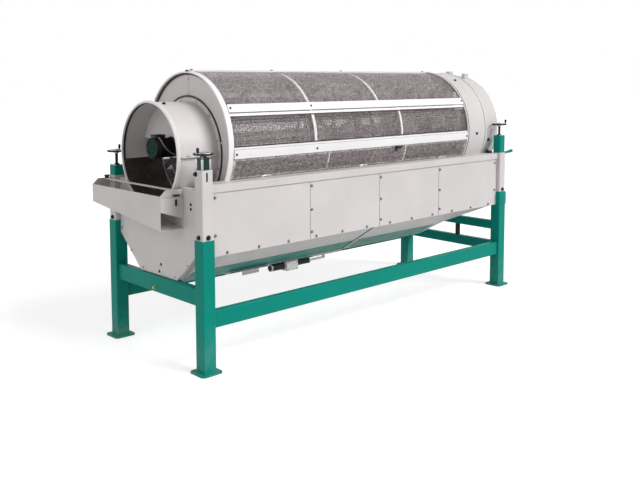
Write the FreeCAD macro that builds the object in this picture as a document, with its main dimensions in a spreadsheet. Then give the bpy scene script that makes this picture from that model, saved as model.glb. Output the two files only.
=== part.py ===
import FreeCAD, Part
import Sketcher

import math
import os
import re

# Rotary seed cleaner, in millimetres. The origin is on the floor in the middle of the four feet,
# X runs from the discharge end to the feed end, -Y is the near side and Z is up.

# Driving dimensions: every size is written once here and kept in the sheet under its alias. A size
# that fits another piece is a formula of that piece's size and its own clearance.
SIZES = {
    # frame
    "frame_length": 3520, "frame_width": 1250,
    "leg_side": 100, "leg_wall": 5, "leg_top": 915,
    "foot_side": 170, "foot_thick": 12, "foot_corner": 28, "foot_hole": 18, "foot_pitch": 130,
    "side_rail_high": 120, "side_rail_wide": 60, "side_rail_bottom": 305, "rail_inset": 20,
    "beam_wide": 60, "tube_wall": 4, "tube_corner": 8,
    "front_beam_high": 120, "front_beam_bottom": 455,
    "rear_low_beam_high": 90, "rear_low_beam_bottom": 335,
    "rear_high_beam_high": 80, "rear_high_beam_bottom": 540,
    "beam_tie_y": -98, "beam_tie_wide": 40, "beam_tie_thick": 24,
    # corner posts and jacks
    "slide_gap": 0.5, "post_wall": 4, "post_foot": 715,
    "post_top_front_near": 1391, "post_top_front_far": 1262, "post_top_rear": 1290,
    "block_top_front_near": 1472, "block_top_front_far": 1337, "block_top_rear": 1452,
    "block_sink": 120, "block_cap": 8, "block_wall": 5,
    "wheel_front_near": 1496, "wheel_front_far": 1444, "wheel_rear": 1559,
    "wheel_across": 140, "wheel_rim": 14, "wheel_hub": 38, "wheel_hub_high": 36,
    "spoke_thick": 12, "screw_across": 24, "screw_sink": 70, "thrust_collar": 44,
    "thrust_collar_high": 10, "turn_gap": 0.06, "rest_gap": 0.3,
    "post_slot_wide": 14, "post_slot_long": 62, "post_slot_drop": 48,
    "lever_long": 172, "lever_wide": 16, "lever_high": 14, "lever_rise": 20, "lever_drop": 24,
    # casing
    "casing_inset": 40, "casing_half_width": "frame_width / 2 - casing_inset",
    "sheet": 3, "casing_bottom": 790, "casing_high": 440, "casing_top": "casing_bottom + casing_high",
    "rail_high": 55, "rail_top": "casing_top + rail_high", "rail_stand_out": 10, "rail_plate": 4,
    "ledge_wide": 122, "ledge_inner": "casing_half_width - ledge_wide",
    "bay_joint_pitch": 768, "bay_joint_shift": 10, "bay_seam": 1,
    "joint_bar_wide": 50, "joint_bar_thick": 6, "joint_bar_foot": "casing_bottom + 40",
    # hopper
    "hopper_floor": 550, "hopper_floor_half": 200, "hopper_flange": 35,
    "hopper_tail_back": 160, "hopper_tail_x": "frame_length / 2 - hopper_tail_back",
    "hopper_tail_long": 486, "hopper_knee_x": "hopper_tail_x - hopper_tail_long",
    "hopper_knee_z": 674, "hopper_turn_long": 114, "hopper_turn_x": "hopper_knee_x - hopper_turn_long",
    "outlet_front_long": 320, "outlet_rear_long": 150, "outlet_wide": 300, "outlet_front_x": -1050,
    "outlet_rear_x": -130, "gate_rear_travel": 150, "gate_pull": 30,
    "gate_thick": 4, "gate_lap": 20, "gate_guide_high": 12, "gate_guide_wide": 25, "gate_guide_lip": 10,
    "actuator_across": 44, "actuator_drop": 52, "actuator_y": -150, "actuator_motor_across": 56,
    "actuator_motor_long": 135, "actuator_box_long": 120, "actuator_box_high": 74,
    "actuator_tube_long": 160, "actuator_rod_across": 18, "actuator_bore_deep": 185,
    "actuator_rod_hold": 15,
    # guard over the drum
    "guard_inset": 57, "guard": "casing_half_width - guard_inset", "guard_sheet": 2,
    "drum_rise": 235, "drum_axis": "rail_top + drum_rise",
    "guard_front_back": 325, "guard_front": "-frame_length / 2 + guard_front_back",
    "hood_front_back": 500, "hood_front": "frame_length / 2 - hood_front_back",
    "hood_rear_back": 202, "hood_rear": "frame_length / 2 - hood_rear_back",
    "housing_overhang": 25, "housing_rear": "frame_length / 2 + housing_overhang",
    "housing_step": 28, "housing": "guard - housing_step",
    "lug_long": 60, "lug_wide": 36, "lug_high": 46, "lug_back": 145, "lug_x": "housing_rear - lug_back", "lug_side_y": -145,
    "guard_rail_wide": 62, "guard_rail_thick": 12,
    "upper_rail_angle": 30, "lower_rail_angle": -5.5, "row_gap": 0.06,
    "mesh_bays": 12, "mesh_row_pitch": 15, "mesh_strip": 14,
    "hoop_wide": 24, "hoop_thick": 8, "hoop_whole_x": -640, "hoop_top_x": 140, "hoop_side_x": 355,
    "rim_wide": 42, "rim_thick": 10, "rim_lip": 26,
    # drum
    "drum_clear": 15, "drum_front": "guard_front + drum_clear", "hood_clear": 28,
    "drum_rear": "hood_rear - hood_clear", "drum_ring": 8, "ring_depth": 34, "drum_rings": 5,
    "screen_clear": 38, "outer_screen": "guard - screen_clear", "screen_sheet": 2, "screen_gap": 0.2,
    "screen_space": 160, "inner_screen": "outer_screen - screen_space",
    "inner_short": 350, "inner_end": "drum_rear - inner_short", "inner_ring_wide": 24,
    "drum_bars": 8, "drum_bar_wide": 40, "drum_bar_thick": 10,
    "spider_arms": 6, "spider_arm_wide": 40, "spider_hub": 150, "spider_hub_long": 32, "shaft_across": 60,
    # front end
    "end_plate": 4, "collar_inset": 159, "collar": "guard - collar_inset",
    "collar_drop": 60, "collar_axis": "drum_axis - collar_drop",
    "collar_long": 343, "collar_front": "guard_front - collar_long", "collar_seam": 0.4,
    "collar_bead": 12, "collar_flange": 30, "collar_flange_thick": 4, "end_split": 24,
    "bulkhead_rise": 91, "cover_stand_back": 44, "cover_x": "-frame_length / 2 + cover_stand_back",
    "cover_half_floor": 241, "cover_floor": "hopper_floor + 29",
    "cover_half_wide": "frame_width / 2 - leg_side - slide_gap", "cover_knee": "casing_bottom + 33",
    "cover_top": "casing_top + 16", "cover_gap": 3,
    # drive
    "motor_beam_high": 40, "motor_beam_wide": 60, "motor_beam_drop": 24,
    "motor_beam_z": "collar_axis - motor_beam_drop", "motor_beam_back": 110,
    "motor_beam_x": "guard_front - motor_beam_back",
    "motor_across": 150, "motor_long": 170, "motor_sink": 26, "motor_rear": "collar_front + motor_sink",
    "motor_drop": 20, "motor_axis": "drum_axis - motor_drop", "gearbox_across": 170,
    "gearbox_long": 130, "shaft_start": 12, "shaft_front": "motor_rear + motor_long + shaft_start",
    "shaft_short": 85, "shaft_rear": "housing_rear - shaft_short",
    "bearing_wide": 60, "bearing_across": 130, "bearing_base": 200, "bearing_drop": 85,
    # feed spout at the rear
    "spout_wide": 300, "spout_high": 200, "spout_reach": 150, "spout_rise": 240,
    "spout_z": "drum_axis + spout_rise", "spout_flange": 30,
    # discharge tray
    "tray_deep": 187, "tray_front": "cover_x - tray_deep", "tray_near": -340, "tray_inset": 25,
    "tray_far": "frame_width / 2 - tray_inset", "tray_back_top": "cover_top - cover_gap",
    "tray_top": "tray_back_top - 39", "tray_rise": 45,
    "tray_floor_near": "tray_back_top - 278", "tray_floor_far": "tray_back_top - 171", "tray_bar": 12,
    "tray_bar_back": 103, "tray_bar_x": "tray_front + tray_bar_back",
    "tray_knob": 24, "tray_knob_high": 20, "tray_knob_inset": 22,
    "flap_thick": 4, "flap_low_front": "tray_back_top - 148", "flap_low_back": "tray_back_top - 208",
    "flap_pin": 8, "flap_pin_z": "tray_back_top - 59", "flap_barrel": 18,
    "latch_bar_long": 50, "latch_bar_high": 12, "latch_bar_out": 14, "latch_back": 124,
    "latch_lever_wide": 10, "latch_lever_out": 10, "latch_lever_long": 45,
    # access door
    "door_top_angle": -9.4, "door_pin": 8, "door_barrel": 16, "door_barrel_long": 60,
    "door_hinge_pitch": 1020, "door_hinge_shift": -80, "door_ear": 12, "door_ear_round": 11.2,
    "latch_x": 295, "latch_long": 46, "latch_high": 20, "latch_deep": 26, "latch_drop": 14,
}

os.makedirs("parts", exist_ok=True)
doc = FreeCAD.newDocument("rotary_seed_cleaner")
sheet = doc.addObject("Spreadsheet::Sheet", "Sizes")
for row, alias in enumerate(SIZES, start=1):
    sheet.set("A%d" % row, alias)
    sheet.setAlias("B%d" % row, alias)
for row, size in enumerate(SIZES.values(), start=1):
    sheet.set("B%d" % row, "=" + size if isinstance(size, str) else str(size))
doc.recompute()

WORD = re.compile(r"[a-z_]+")
PARALLEL = 1e-6
ALONG_X = FreeCAD.Rotation(FreeCAD.Vector(0, 1, 0), 90)
NO_TURN = FreeCAD.Rotation()
PARTS = []


def cell(text):
    """An expression with every alias pointed at the sheet."""
    return WORD.sub(lambda hit: "Sizes." + hit.group() if hit.group() in SIZES else hit.group(), str(text))


def value(text):
    """The number that an expression of aliases stands for."""
    text = str(text)
    while WORD.search(text):
        text = WORD.sub(lambda hit: "(%s)" % SIZES[hit.group()], text)
    return float(FreeCAD.Units.Quantity(text).Value)


def bind(thing, **sizes):
    for prop, text in sizes.items():
        thing.setExpression(prop, cell(text))
    return thing


def put(thing, at, turn=NO_TURN):
    """Place an object: `at` is three expressions, `turn` a rotation."""
    thing.Placement = FreeCAD.Placement(FreeCAD.Vector(0, 0, 0), turn)
    for axis, text in zip("xyz", at):
        thing.setExpression("Placement.Base." + axis, cell(text))
    return thing


def keep(thing, label):
    """Mark an object as a sub-part under its file name."""
    thing.Label = label
    PARTS.append(thing)
    return thing


def make(kind, name, at=(0, 0, 0), turn=NO_TURN, **sizes):
    return put(bind(doc.addObject("Part::" + kind, name), **sizes), at, turn)


def cut(name, base, tool):
    thing = doc.addObject("Part::Cut", name)
    thing.Base, thing.Tool = base, tool
    return thing


def cut_all(name, base, tools):
    return cut(name, base, fuse(name + "_tools", tools) if len(tools) > 1 else tools[0])


def fuse(name, shapes):
    thing = doc.addObject("Part::MultiFuse", name)
    thing.Shapes = shapes
    return thing


def common(name, shapes):
    thing = doc.addObject("Part::MultiCommon", name)
    thing.Shapes = shapes
    return thing


def group(name, shapes):
    thing = doc.addObject("Part::Compound", name)
    thing.Links = shapes
    return thing


def round_edges(name, base, alias, picked):
    """Fillet the straight edges of `base` that `picked` accepts."""
    doc.recompute()
    thing = doc.addObject("Part::Fillet", name)
    thing.Base = base
    radius = value(alias)
    thing.Edges = [(number, radius, radius)
                   for number, edge in enumerate(base.Shape.Edges, start=1) if picked(edge)]
    return thing


def runs_along(axis):
    def test(edge):
        if not isinstance(edge.Curve, Part.Line):
            return False
        return edge.Curve.Direction.cross(axis).Length < PARALLEL
    return test


X_AXIS, Y_AXIS, Z_AXIS = FreeCAD.Vector(1, 0, 0), FreeCAD.Vector(0, 1, 0), FreeCAD.Vector(0, 0, 1)


def hollow_bar(name, axis, long, wide, high, wall, at):
    """A rectangular tube along one axis with rounded corners, its lowest corner at `at`."""
    sizes = {"x": (long, wide, high), "y": (wide, long, high), "z": (wide, high, long)}[axis]
    outer = make("Box", name + "_outer", at, Length=sizes[0], Width=sizes[1], Height=sizes[2])
    shift = {"x": (0, wall, wall), "y": (wall, 0, wall), "z": (wall, wall, 0)}[axis]
    spans = ["(%s) - 2 * (%s)" % (size, part) for size, part in zip(sizes, shift)]
    inner = make("Box", name + "_inner", ["(%s) + (%s)" % (a, b) for a, b in zip(at, shift)],
                 Length=spans[0], Width=spans[1], Height=spans[2])
    rounded = round_edges(name + "_round", outer, "tube_corner",
                          runs_along({"x": X_AXIS, "y": Y_AXIS, "z": Z_AXIS}[axis]))
    return cut(name, rounded, inner)


def profile(name, plane, points, depth, start="0"):
    """A closed outline on an origin plane, padded along that plane's normal from `start`.

    On YZ_Plane the outline's axes are Y and Z and it is padded along X; on XZ_Plane they are
    X and Z and it is padded along Y.
    """
    body = doc.addObject("PartDesign::Body", name)
    sketch = body.newObject("Sketcher::SketchObject", name + "_outline")
    base = [part for part in body.Origin.OriginFeatures if part.Role == plane][0]
    sketch.AttachmentSupport = [(base, "")]
    sketch.MapMode = "FlatFace"
    corners = [(value(across), value(up)) for across, up in points]
    count = len(corners)
    for number, corner in enumerate(corners):
        after = corners[(number + 1) % count]
        sketch.addGeometry(Part.LineSegment(FreeCAD.Vector(*corner, 0), FreeCAD.Vector(*after, 0)), False)
    for number in range(count):
        sketch.addConstraint(Sketcher.Constraint("Coincident", number, 2, (number + 1) % count, 1))
    for number, (texts, numbers) in enumerate(zip(points, corners)):
        for kind, text, size in zip(("DistanceX", "DistanceY"), texts, numbers):
            index = sketch.addConstraint(Sketcher.Constraint(kind, number, 1, size))
            sketch.setExpression("Constraints[%d]" % index, cell(text))
    pad = body.newObject("PartDesign::Pad", name + "_pad")
    pad.Profile = sketch
    pad.setExpression("Length", cell(depth))
    along = {"YZ_Plane": "x", "XZ_Plane": "y", "XY_Plane": "z"}[plane]
    pad.Reversed = along == "y"
    body.setExpression("Placement.Base." + along, cell(start))
    return body


def along_x(start_angle):
    """A rotation that lays a cylinder along X, its sector starting at this angle.

    Angles are measured about the drum's axis from level on the near side, up over the top.
    """
    return ALONG_X.multiply(FreeCAD.Rotation(Z_AXIS, start_angle))


def round_bar(name, across, long, start, y="0", z="drum_axis"):
    return make("Cylinder", name, (start, y, z), ALONG_X, Radius="(%s) / 2" % across, Height=long)


def shell(name, radius, thick, start, end, low=None, high=None, z="drum_axis"):
    """A rolled sheet about X, whole or from the angle `low` to the angle `high`."""
    turn, sweep = ALONG_X, "360"
    if low is not None:
        turn, sweep = along_x(270 - value(high)), "(%s) - (%s)" % (high, low)
    long = "(%s) - (%s)" % (end, start)
    outer = make("Cylinder", name + "_outer", (start, 0, z), turn, Radius=radius, Height=long, Angle=sweep)
    inner = make("Cylinder", name + "_inner", (start, 0, z), turn, Radius="(%s) - (%s)" % (radius, thick),
                 Height=long, Angle=sweep)
    return cut(name, outer, inner)


def block(name, low, high):
    """A box between two corners, each given as three expressions."""
    spans = ["(%s) - (%s)" % (b, a) for a, b in zip(low, high)]
    return make("Box", name, low, Length=spans[0], Width=spans[1], Height=spans[2])


ENDS = {"front": -1, "rear": 1}
SIDES = {"near": -1, "far": 1}
LEG_X = "(frame_length - leg_side) / 2"
LEG_Y = "(frame_width - leg_side) / 2"


def spot(end, side):
    return "%d * (%s)" % (ENDS[end], LEG_X), "%d * (%s)" % (SIDES[side], LEG_Y)


def corner_sizes(end, side):
    suffix = "rear" if end == "rear" else "front_" + side
    return "post_top_" + suffix, "block_top_" + suffix, "wheel_" + suffix


def leg(end, side):
    """A square tube welded on its foot plate, with four anchor holes."""
    name = "leg_%s_%s" % (end, side)
    x, y = spot(end, side)
    half = "foot_side / 2"
    plate = make("Box", name + "_plate", ("%s - %s" % (x, half), "%s - %s" % (y, half), "0"),
                 Length="foot_side", Width="foot_side", Height="foot_thick")
    plate = round_edges(name + "_plate_round", plate, "foot_corner", runs_along(Z_AXIS))
    holes = [make("Cylinder", "%s_hole_%d_%d" % (name, i, j),
                  ("%s + %d * foot_pitch / 2" % (x, i), "%s + %d * foot_pitch / 2" % (y, j), "-1"),
                  Radius="foot_hole / 2", Height="foot_thick + 2") for i in (-1, 1) for j in (-1, 1)]
    plate = cut_all(name + "_foot", plate, holes)
    tube = hollow_bar(name + "_tube", "z", "leg_top - foot_thick", "leg_side", "leg_side", "leg_wall",
                      ("%s - leg_side / 2" % x, "%s - leg_side / 2" % y, "foot_thick"))
    keep(fuse(name, [plate, tube]), name)


def corner_post(end, side):
    """The upper post that telescopes in the leg."""
    name = "corner_post_%s_%s" % (end, side)
    x, y = spot(end, side)
    top = corner_sizes(end, side)[0]
    wide = "leg_side - 2 * leg_wall - 2 * slide_gap"
    tube = hollow_bar(name + "_tube", "z", "%s - post_foot" % top, wide, wide, "post_wall",
                      ("%s - (%s) / 2" % (x, wide), "%s - (%s) / 2" % (y, wide), "post_foot"))
    if name == "corner_post_front_near":
        slot_top = "%s - post_slot_drop + post_slot_long / 2" % top
        slot = block(name + "_slot", ("%s - post_slot_wide / 2 - post_wall" % x, "%s - (%s) / 2 - 1" % (y, wide),
                                      "%s - post_slot_long" % slot_top),
                     ("%s + post_slot_wide / 2 - post_wall" % x, "%s - (%s) / 2 + post_wall + 1" % (y, wide),
                      slot_top))
        tube = cut(name + "_slotted", tube, slot)
    if name == "corner_post_rear_near":
        root = "%s + (%s) / 2 - post_wall / 2" % (x, wide)
        low = "%s - lever_drop" % top
        lever = profile(name + "_lever", "XZ_Plane",
                        [(root, low), (root, low + " + lever_high"),
                         (root + " + lever_long", low + " + lever_rise + lever_high"),
                         (root + " + lever_long", low + " + lever_rise")],
                        "lever_wide", "%s - lever_wide / 2" % y)
        tube = fuse(name + "_levered", [tube, lever])
    keep(tube, name)


def jack_block(end, side):
    """The capped square nut block in the top of a post."""
    name = "jack_block_%s_%s" % (end, side)
    x, y = spot(end, side)
    post_top, top, _ = corner_sizes(end, side)
    wide = "leg_side - 2 * leg_wall - 4 * slide_gap - 2 * post_wall"
    low = "%s - block_sink" % post_top
    outer = make("Box", name + "_outer", ("%s - (%s) / 2" % (x, wide), "%s - (%s) / 2" % (y, wide), low),
                 Length=wide, Width=wide, Height="%s - (%s)" % (top, low))
    outer = round_edges(name + "_round", outer, "tube_corner", runs_along(Z_AXIS))
    inner = "%s - 2 * block_wall" % wide
    hollow = make("Box", name + "_hollow",
                  ("%s - (%s) / 2" % (x, inner), "%s - (%s) / 2" % (y, inner), "%s - 1" % low),
                  Length=inner, Width=inner, Height="%s - (%s) - block_cap + 1" % (top, low))
    bore = make("Cylinder", name + "_bore", (x, y, "%s - block_cap - 1" % top),
                Radius="screw_across / 2 + turn_gap", Height="block_cap + 2")
    keep(cut_all(name, outer, [hollow, bore]), name)


def handwheel(end, side):
    """A three-spoke handwheel on its screw."""
    name = "handwheel_%s_%s" % (end, side)
    x, y = spot(end, side)
    _, top, height = corner_sizes(end, side)
    low = "%s - screw_sink" % top
    screw = make("Cylinder", name + "_screw", (x, y, low), Radius="screw_across / 2",
                 Height="%s - (%s)" % (height, low))
    thrust = make("Cylinder", name + "_collar", (x, y, "%s + rest_gap" % top),
                  Radius="thrust_collar / 2", Height="thrust_collar_high")
    hub = make("Cylinder", name + "_hub", (x, y, "%s - wheel_hub_high / 2" % height),
               Radius="wheel_hub / 2", Height="wheel_hub_high")
    rim = make("Torus", name + "_rim", (x, y, height), Radius1="wheel_across / 2 - wheel_rim / 2",
               Radius2="wheel_rim / 2")
    spokes = []
    for number in range(3):
        spoke = make("Cylinder", "%s_spoke_%d" % (name, number), (x, y, height),
                     FreeCAD.Rotation(Z_AXIS, 120 * number).multiply(ALONG_X),
                     Radius="spoke_thick / 2", Height="wheel_across / 2 - wheel_rim / 2")
        spokes.append(spoke)
    keep(fuse(name, [screw, thrust, hub, rim] + spokes), name)


for end_name in ENDS:
    for side_name in SIDES:
        leg(end_name, side_name)
        corner_post(end_name, side_name)
        jack_block(end_name, side_name)
        handwheel(end_name, side_name)

# Frame rails and beams, butted on the legs
INNER_X = "(frame_length / 2 - leg_side)"
INNER_Y = "(frame_width / 2 - leg_side)"
for side_name, sign in SIDES.items():
    outer_y = "frame_width / 2 - rail_inset"
    low_y = "-(%s)" % outer_y if sign < 0 else "%s - side_rail_wide" % outer_y
    keep(hollow_bar("side_rail_" + side_name, "x", "2 * " + INNER_X, "side_rail_wide", "side_rail_high",
                    "tube_wall", ("-" + INNER_X, low_y, "side_rail_bottom")), "side_rail_" + side_name)


def cross_beam(name, end, high, bottom):
    outer = "frame_length / 2 - rail_inset"
    low_x = "-(%s)" % outer if ENDS[end] < 0 else "%s - beam_wide" % outer
    return hollow_bar(name, "y", "2 * " + INNER_Y, "beam_wide", high, "tube_wall",
                      (low_x, "-" + INNER_Y, bottom))


keep(cross_beam("cross_beam_front", "front", "front_beam_high", "front_beam_bottom"), "cross_beam_front")
keep(cross_beam("cross_beam_rear_high", "rear", "rear_high_beam_high", "rear_high_beam_bottom"),
     "cross_beam_rear_high")
rear_low_beam = cross_beam("rear_low_beam", "rear", "rear_low_beam_high", "rear_low_beam_bottom")
TIE_X = "frame_length / 2 - rail_inset - beam_wide / 2"
beam_tie = block("beam_tie", (TIE_X + " - beam_tie_thick / 2", "beam_tie_y - beam_tie_wide / 2",
                              "rear_low_beam_bottom + rear_low_beam_high - tube_wall / 2"),
                 (TIE_X + " + beam_tie_thick / 2", "beam_tie_y + beam_tie_wide / 2", "rear_high_beam_bottom"))
keep(fuse("cross_beam_rear_low", [rear_low_beam, beam_tie]), "cross_beam_rear_low")


def leg_zones(ends, sides):
    """Blocks round the lower legs that the casing's plates keep out of."""
    zones = []
    for end in ends:
        for side in sides:
            x, y = spot(end, side)
            reach = "(leg_side / 2 + slide_gap)"
            zones.append(block("leg_zone_%s_%s" % (end, side),
                               ("%s - %s" % (x, reach), "%s - %s" % (y, reach), "0"),
                               ("%s + %s" % (x, reach), "%s + %s" % (y, reach), "leg_top + slide_gap")))
    return zones


# Casing sides between the posts: four bolted bays, the joint bars behind them and the top rail
POST_INNER_X = "(frame_length - leg_side) / 2 - leg_side / 2 + leg_wall + slide_gap"
rail_bodies = {}
BAY_JOINTS = ["bay_joint_shift + %d * bay_joint_pitch" % step for step in (-1, 0, 1)]
for side_name, sign in SIDES.items():
    inner, outer = "casing_half_width - sheet", "casing_half_width"
    low_y, high_y = ("-(%s)" % outer, "-(%s)" % inner) if sign < 0 else (inner, outer)
    edges = ["-(%s)" % POST_INNER_X] + BAY_JOINTS + [POST_INNER_X]
    bays = []
    for number, (left, right) in enumerate(zip(edges, edges[1:])):
        left = left + " + bay_seam / 2" if number else left
        right = right + " - bay_seam / 2" if number < 3 else right
        bays.append(block("panel_%s_%d" % (side_name, number), (left, low_y, "casing_bottom"),
                          (right, high_y, "casing_top")))
    keep(cut_all("side_panels_" + side_name, group("bays_" + side_name, bays), leg_zones(ENDS, [side_name])),
         "side_panels_" + side_name)
    lip = "casing_half_width + rail_stand_out"
    points = [(lip, "casing_top"), (lip, "rail_top"), ("ledge_inner", "rail_top"),
              ("ledge_inner", "rail_top - rail_plate"), (lip + " - rail_plate", "rail_top - rail_plate"),
              (lip + " - rail_plate", "casing_top + rail_plate"),
              (inner, "casing_top + rail_plate"), (inner, "casing_top")]
    points = [("%d * (%s)" % (sign, across), up) for across, up in points]
    rail_bodies[side_name] = profile("rail_body_" + side_name, "YZ_Plane", points,
                                     "2 * (%s)" % POST_INNER_X, "-(%s)" % POST_INNER_X)
keep(rail_bodies["far"], "top_rail_far")

bars = []
for side_name, sign in SIDES.items():
    inner = "casing_half_width - sheet"
    bar_inner = inner + " - joint_bar_thick"
    low_y, high_y = ("-(%s)" % inner, "-(%s)" % bar_inner) if sign < 0 else (bar_inner, inner)
    for number, joint in enumerate(BAY_JOINTS):
        bars.append(block("joint_bar_%s_%d" % (side_name, number),
                          ("%s - joint_bar_wide / 2" % joint, low_y, "joint_bar_foot"),
                          ("%s + joint_bar_wide / 2" % joint, high_y, "casing_top")))
keep(group("panel_joint_bars", bars), "panel_joint_bars")

# Hopper: bent side slopes, floor with two outlets, front and rear walls, rising tail
HOPPER_END = "(%s) - sheet" % POST_INNER_X
SLOPE_OUT = "casing_half_width - sheet"
tail = profile("tail_cutter", "XZ_Plane",
               [("hopper_turn_x", "hopper_floor - 60"), ("hopper_turn_x", "hopper_floor"),
                ("hopper_knee_x", "hopper_knee_z"), ("hopper_tail_x", "casing_bottom"),
                ("frame_length", "casing_bottom"), ("frame_length", "hopper_floor - 60")],
               "frame_width", "-frame_width / 2")
for side_name, sign in SIDES.items():
    points = [(SLOPE_OUT, "casing_bottom + hopper_flange"), (SLOPE_OUT, "casing_bottom + sheet"),
              ("hopper_floor_half", "hopper_floor"), ("hopper_floor_half", "hopper_floor + sheet"),
              (SLOPE_OUT + " - sheet", "casing_bottom + 2 * sheet"),
              (SLOPE_OUT + " - sheet", "casing_bottom + hopper_flange")]
    points = [("%d * (%s)" % (sign, across), up) for across, up in points]
    slope = profile("slope_%s_whole" % side_name, "YZ_Plane", points, "2 * (%s)" % HOPPER_END,
                    "-(%s)" % HOPPER_END)
    keep(cut_all("hopper_slope_" + side_name, slope, [tail] + leg_zones(ENDS, [side_name])),
         "hopper_slope_" + side_name)

inside = profile("hopper_inside", "YZ_Plane",
                 [("-hopper_floor_half + 0.5", "hopper_floor + sheet"),
                  ("hopper_floor_half - 0.5", "hopper_floor + sheet"),
                  (SLOPE_OUT + " - sheet - 0.5", "casing_bottom + 2 * sheet"),
                  (SLOPE_OUT + " - sheet - 0.5", "casing_top"),
                  ("-(%s - sheet - 0.5)" % SLOPE_OUT, "casing_top"),
                  ("-(%s - sheet - 0.5)" % SLOPE_OUT, "casing_bottom + 2 * sheet")],
                 "2 * (%s)" % HOPPER_END, "-(%s)" % HOPPER_END)
tail_plate = profile("tail_plate_whole", "XZ_Plane",
                     [("hopper_turn_x - sheet", "hopper_floor + 2"), ("hopper_turn_x + 2", "hopper_floor + 2"),
                      ("hopper_knee_x", "hopper_knee_z"), ("hopper_tail_x", "casing_bottom"),
                      (HOPPER_END, "casing_bottom"), (HOPPER_END, "casing_bottom + sheet"),
                      ("hopper_tail_x - sheet / 4", "casing_bottom + sheet"),
                      ("hopper_knee_x - sheet", "hopper_knee_z + sheet")],
                     "frame_width", "-frame_width / 2")
keep(cut_all("hopper_tail", common("tail_plate", [tail_plate, inside]), leg_zones(["rear"], SIDES)),
     "hopper_tail")

OUTLETS = {"front": ("outlet_front_x", "outlet_front_long"), "rear": ("outlet_rear_x", "outlet_rear_long")}
FLOOR_UNDER = "hopper_floor - sheet"
floor = block("floor_plate", ("-(%s)" % HOPPER_END, "-hopper_floor_half", FLOOR_UNDER),
              ("hopper_turn_x", "hopper_floor_half", "hopper_floor"))
windows = [block("outlet_window_" + where, ("%s - %s / 2" % (x, long), "-outlet_wide / 2", FLOOR_UNDER + " - 1"),
                 ("%s + %s / 2" % (x, long), "outlet_wide / 2", "hopper_floor + 1"))
           for where, (x, long) in OUTLETS.items()]


def guide_pair(name, reach, span):
    """Guide angles at both sides of a gate: `reach` from the outlet's middle, `span` along the travel.

    Each row is a name, the low and high edge across the travel, the span and the top of the piece.
    """
    rows = []
    for sign, word in ((-1, "low"), (1, "high")):
        for piece, near, top in (("web", reach, FLOOR_UNDER),
                                 ("lip", reach + " - gate_guide_lip", GATE_UNDER + " - rest_gap")):
            edges = ["%d * (%s)" % (sign, near), "%d * (%s + gate_guide_wide)" % (sign, reach)]
            rows.append(("%s_%s_%s" % (name, word, piece), *edges[::sign], *span, top))
    return rows


GATE_TOP = FLOOR_UNDER + " - rest_gap"
GATE_UNDER = GATE_TOP + " - gate_thick"
GUIDE_FOOT = FLOOR_UNDER + " - gate_guide_high"
guides = []
for name, low, high, start, end, top in guide_pair(
        "guide_front", "outlet_front_long / 2 + gate_lap + rest_gap", ("-hopper_floor_half", "hopper_floor_half")):
    guides.append(block(name, ("outlet_front_x + " + low, start, GUIDE_FOOT),
                        ("outlet_front_x + " + high, end, top)))
for name, low, high, start, end, top in guide_pair(
        "guide_rear", "outlet_wide / 2 + gate_lap + rest_gap",
        ("outlet_rear_x - outlet_rear_long / 2 - gate_lap - gate_rear_travel",
         "outlet_rear_x + outlet_rear_long / 2 + gate_lap")):
    guides.append(block(name, (start, low, GUIDE_FOOT), (end, high, top)))
keep(fuse("hopper_floor_plate", [cut_all("floor_open", floor, windows)] + guides), "hopper_floor_plate")

front_gate = block("gate_front_plate",
                   ("outlet_front_x - outlet_front_long / 2 - gate_lap",
                    "-hopper_floor_half - gate_pull", GATE_UNDER),
                   ("outlet_front_x + outlet_front_long / 2 + gate_lap", "outlet_wide / 2 + gate_lap", GATE_TOP))
gate_lip = block("gate_front_lip",
                 ("outlet_front_x - outlet_front_long / 4", "-hopper_floor_half - gate_pull",
                  GATE_UNDER + " - gate_pull"),
                 ("outlet_front_x + outlet_front_long / 4", "-hopper_floor_half - gate_pull + gate_thick",
                  GATE_UNDER))
keep(fuse("gate_front", [front_gate, gate_lip]), "gate_front")
GATE_REAR_START = "outlet_rear_x - outlet_rear_long / 2 - gate_lap"
keep(block("gate_rear", (GATE_REAR_START, "-outlet_wide / 2 - gate_lap", GATE_UNDER),
           ("outlet_rear_x + outlet_rear_long / 2 + gate_lap", "outlet_wide / 2 + gate_lap", GATE_TOP)),
     "gate_rear")

wall_points = [("-hopper_floor_half", "hopper_floor"), ("hopper_floor_half", "hopper_floor"),
               (SLOPE_OUT, "casing_bottom + sheet"), (SLOPE_OUT, "casing_top"),
               ("-(%s)" % SLOPE_OUT, "casing_top"), ("-(%s)" % SLOPE_OUT, "casing_bottom + sheet")]
front_wall = profile("front_wall_whole", "YZ_Plane", wall_points, "sheet", "-(%s)" % POST_INNER_X)
front_hole = round_bar("front_wall_hole", "2 * collar", "sheet + 2", "-(%s) - 1" % POST_INNER_X,
                       z="collar_axis")
front_wall = cut_all("hopper_front_wall", front_wall, [front_hole] + leg_zones(["front"], SIDES))
rear_wall = block("rear_wall_whole", (HOPPER_END, "-(%s)" % SLOPE_OUT, "casing_bottom"),
                  (POST_INNER_X, SLOPE_OUT, "casing_top"))
rear_hole = round_bar("rear_wall_hole", "2 * housing", "sheet + 2", HOPPER_END + " - 1")
rear_wall = cut_all("hopper_rear_wall", rear_wall, [rear_hole] + leg_zones(["rear"], SIDES))
keep(group("hopper_end_walls", [front_wall, rear_wall]), "hopper_end_walls")

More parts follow.
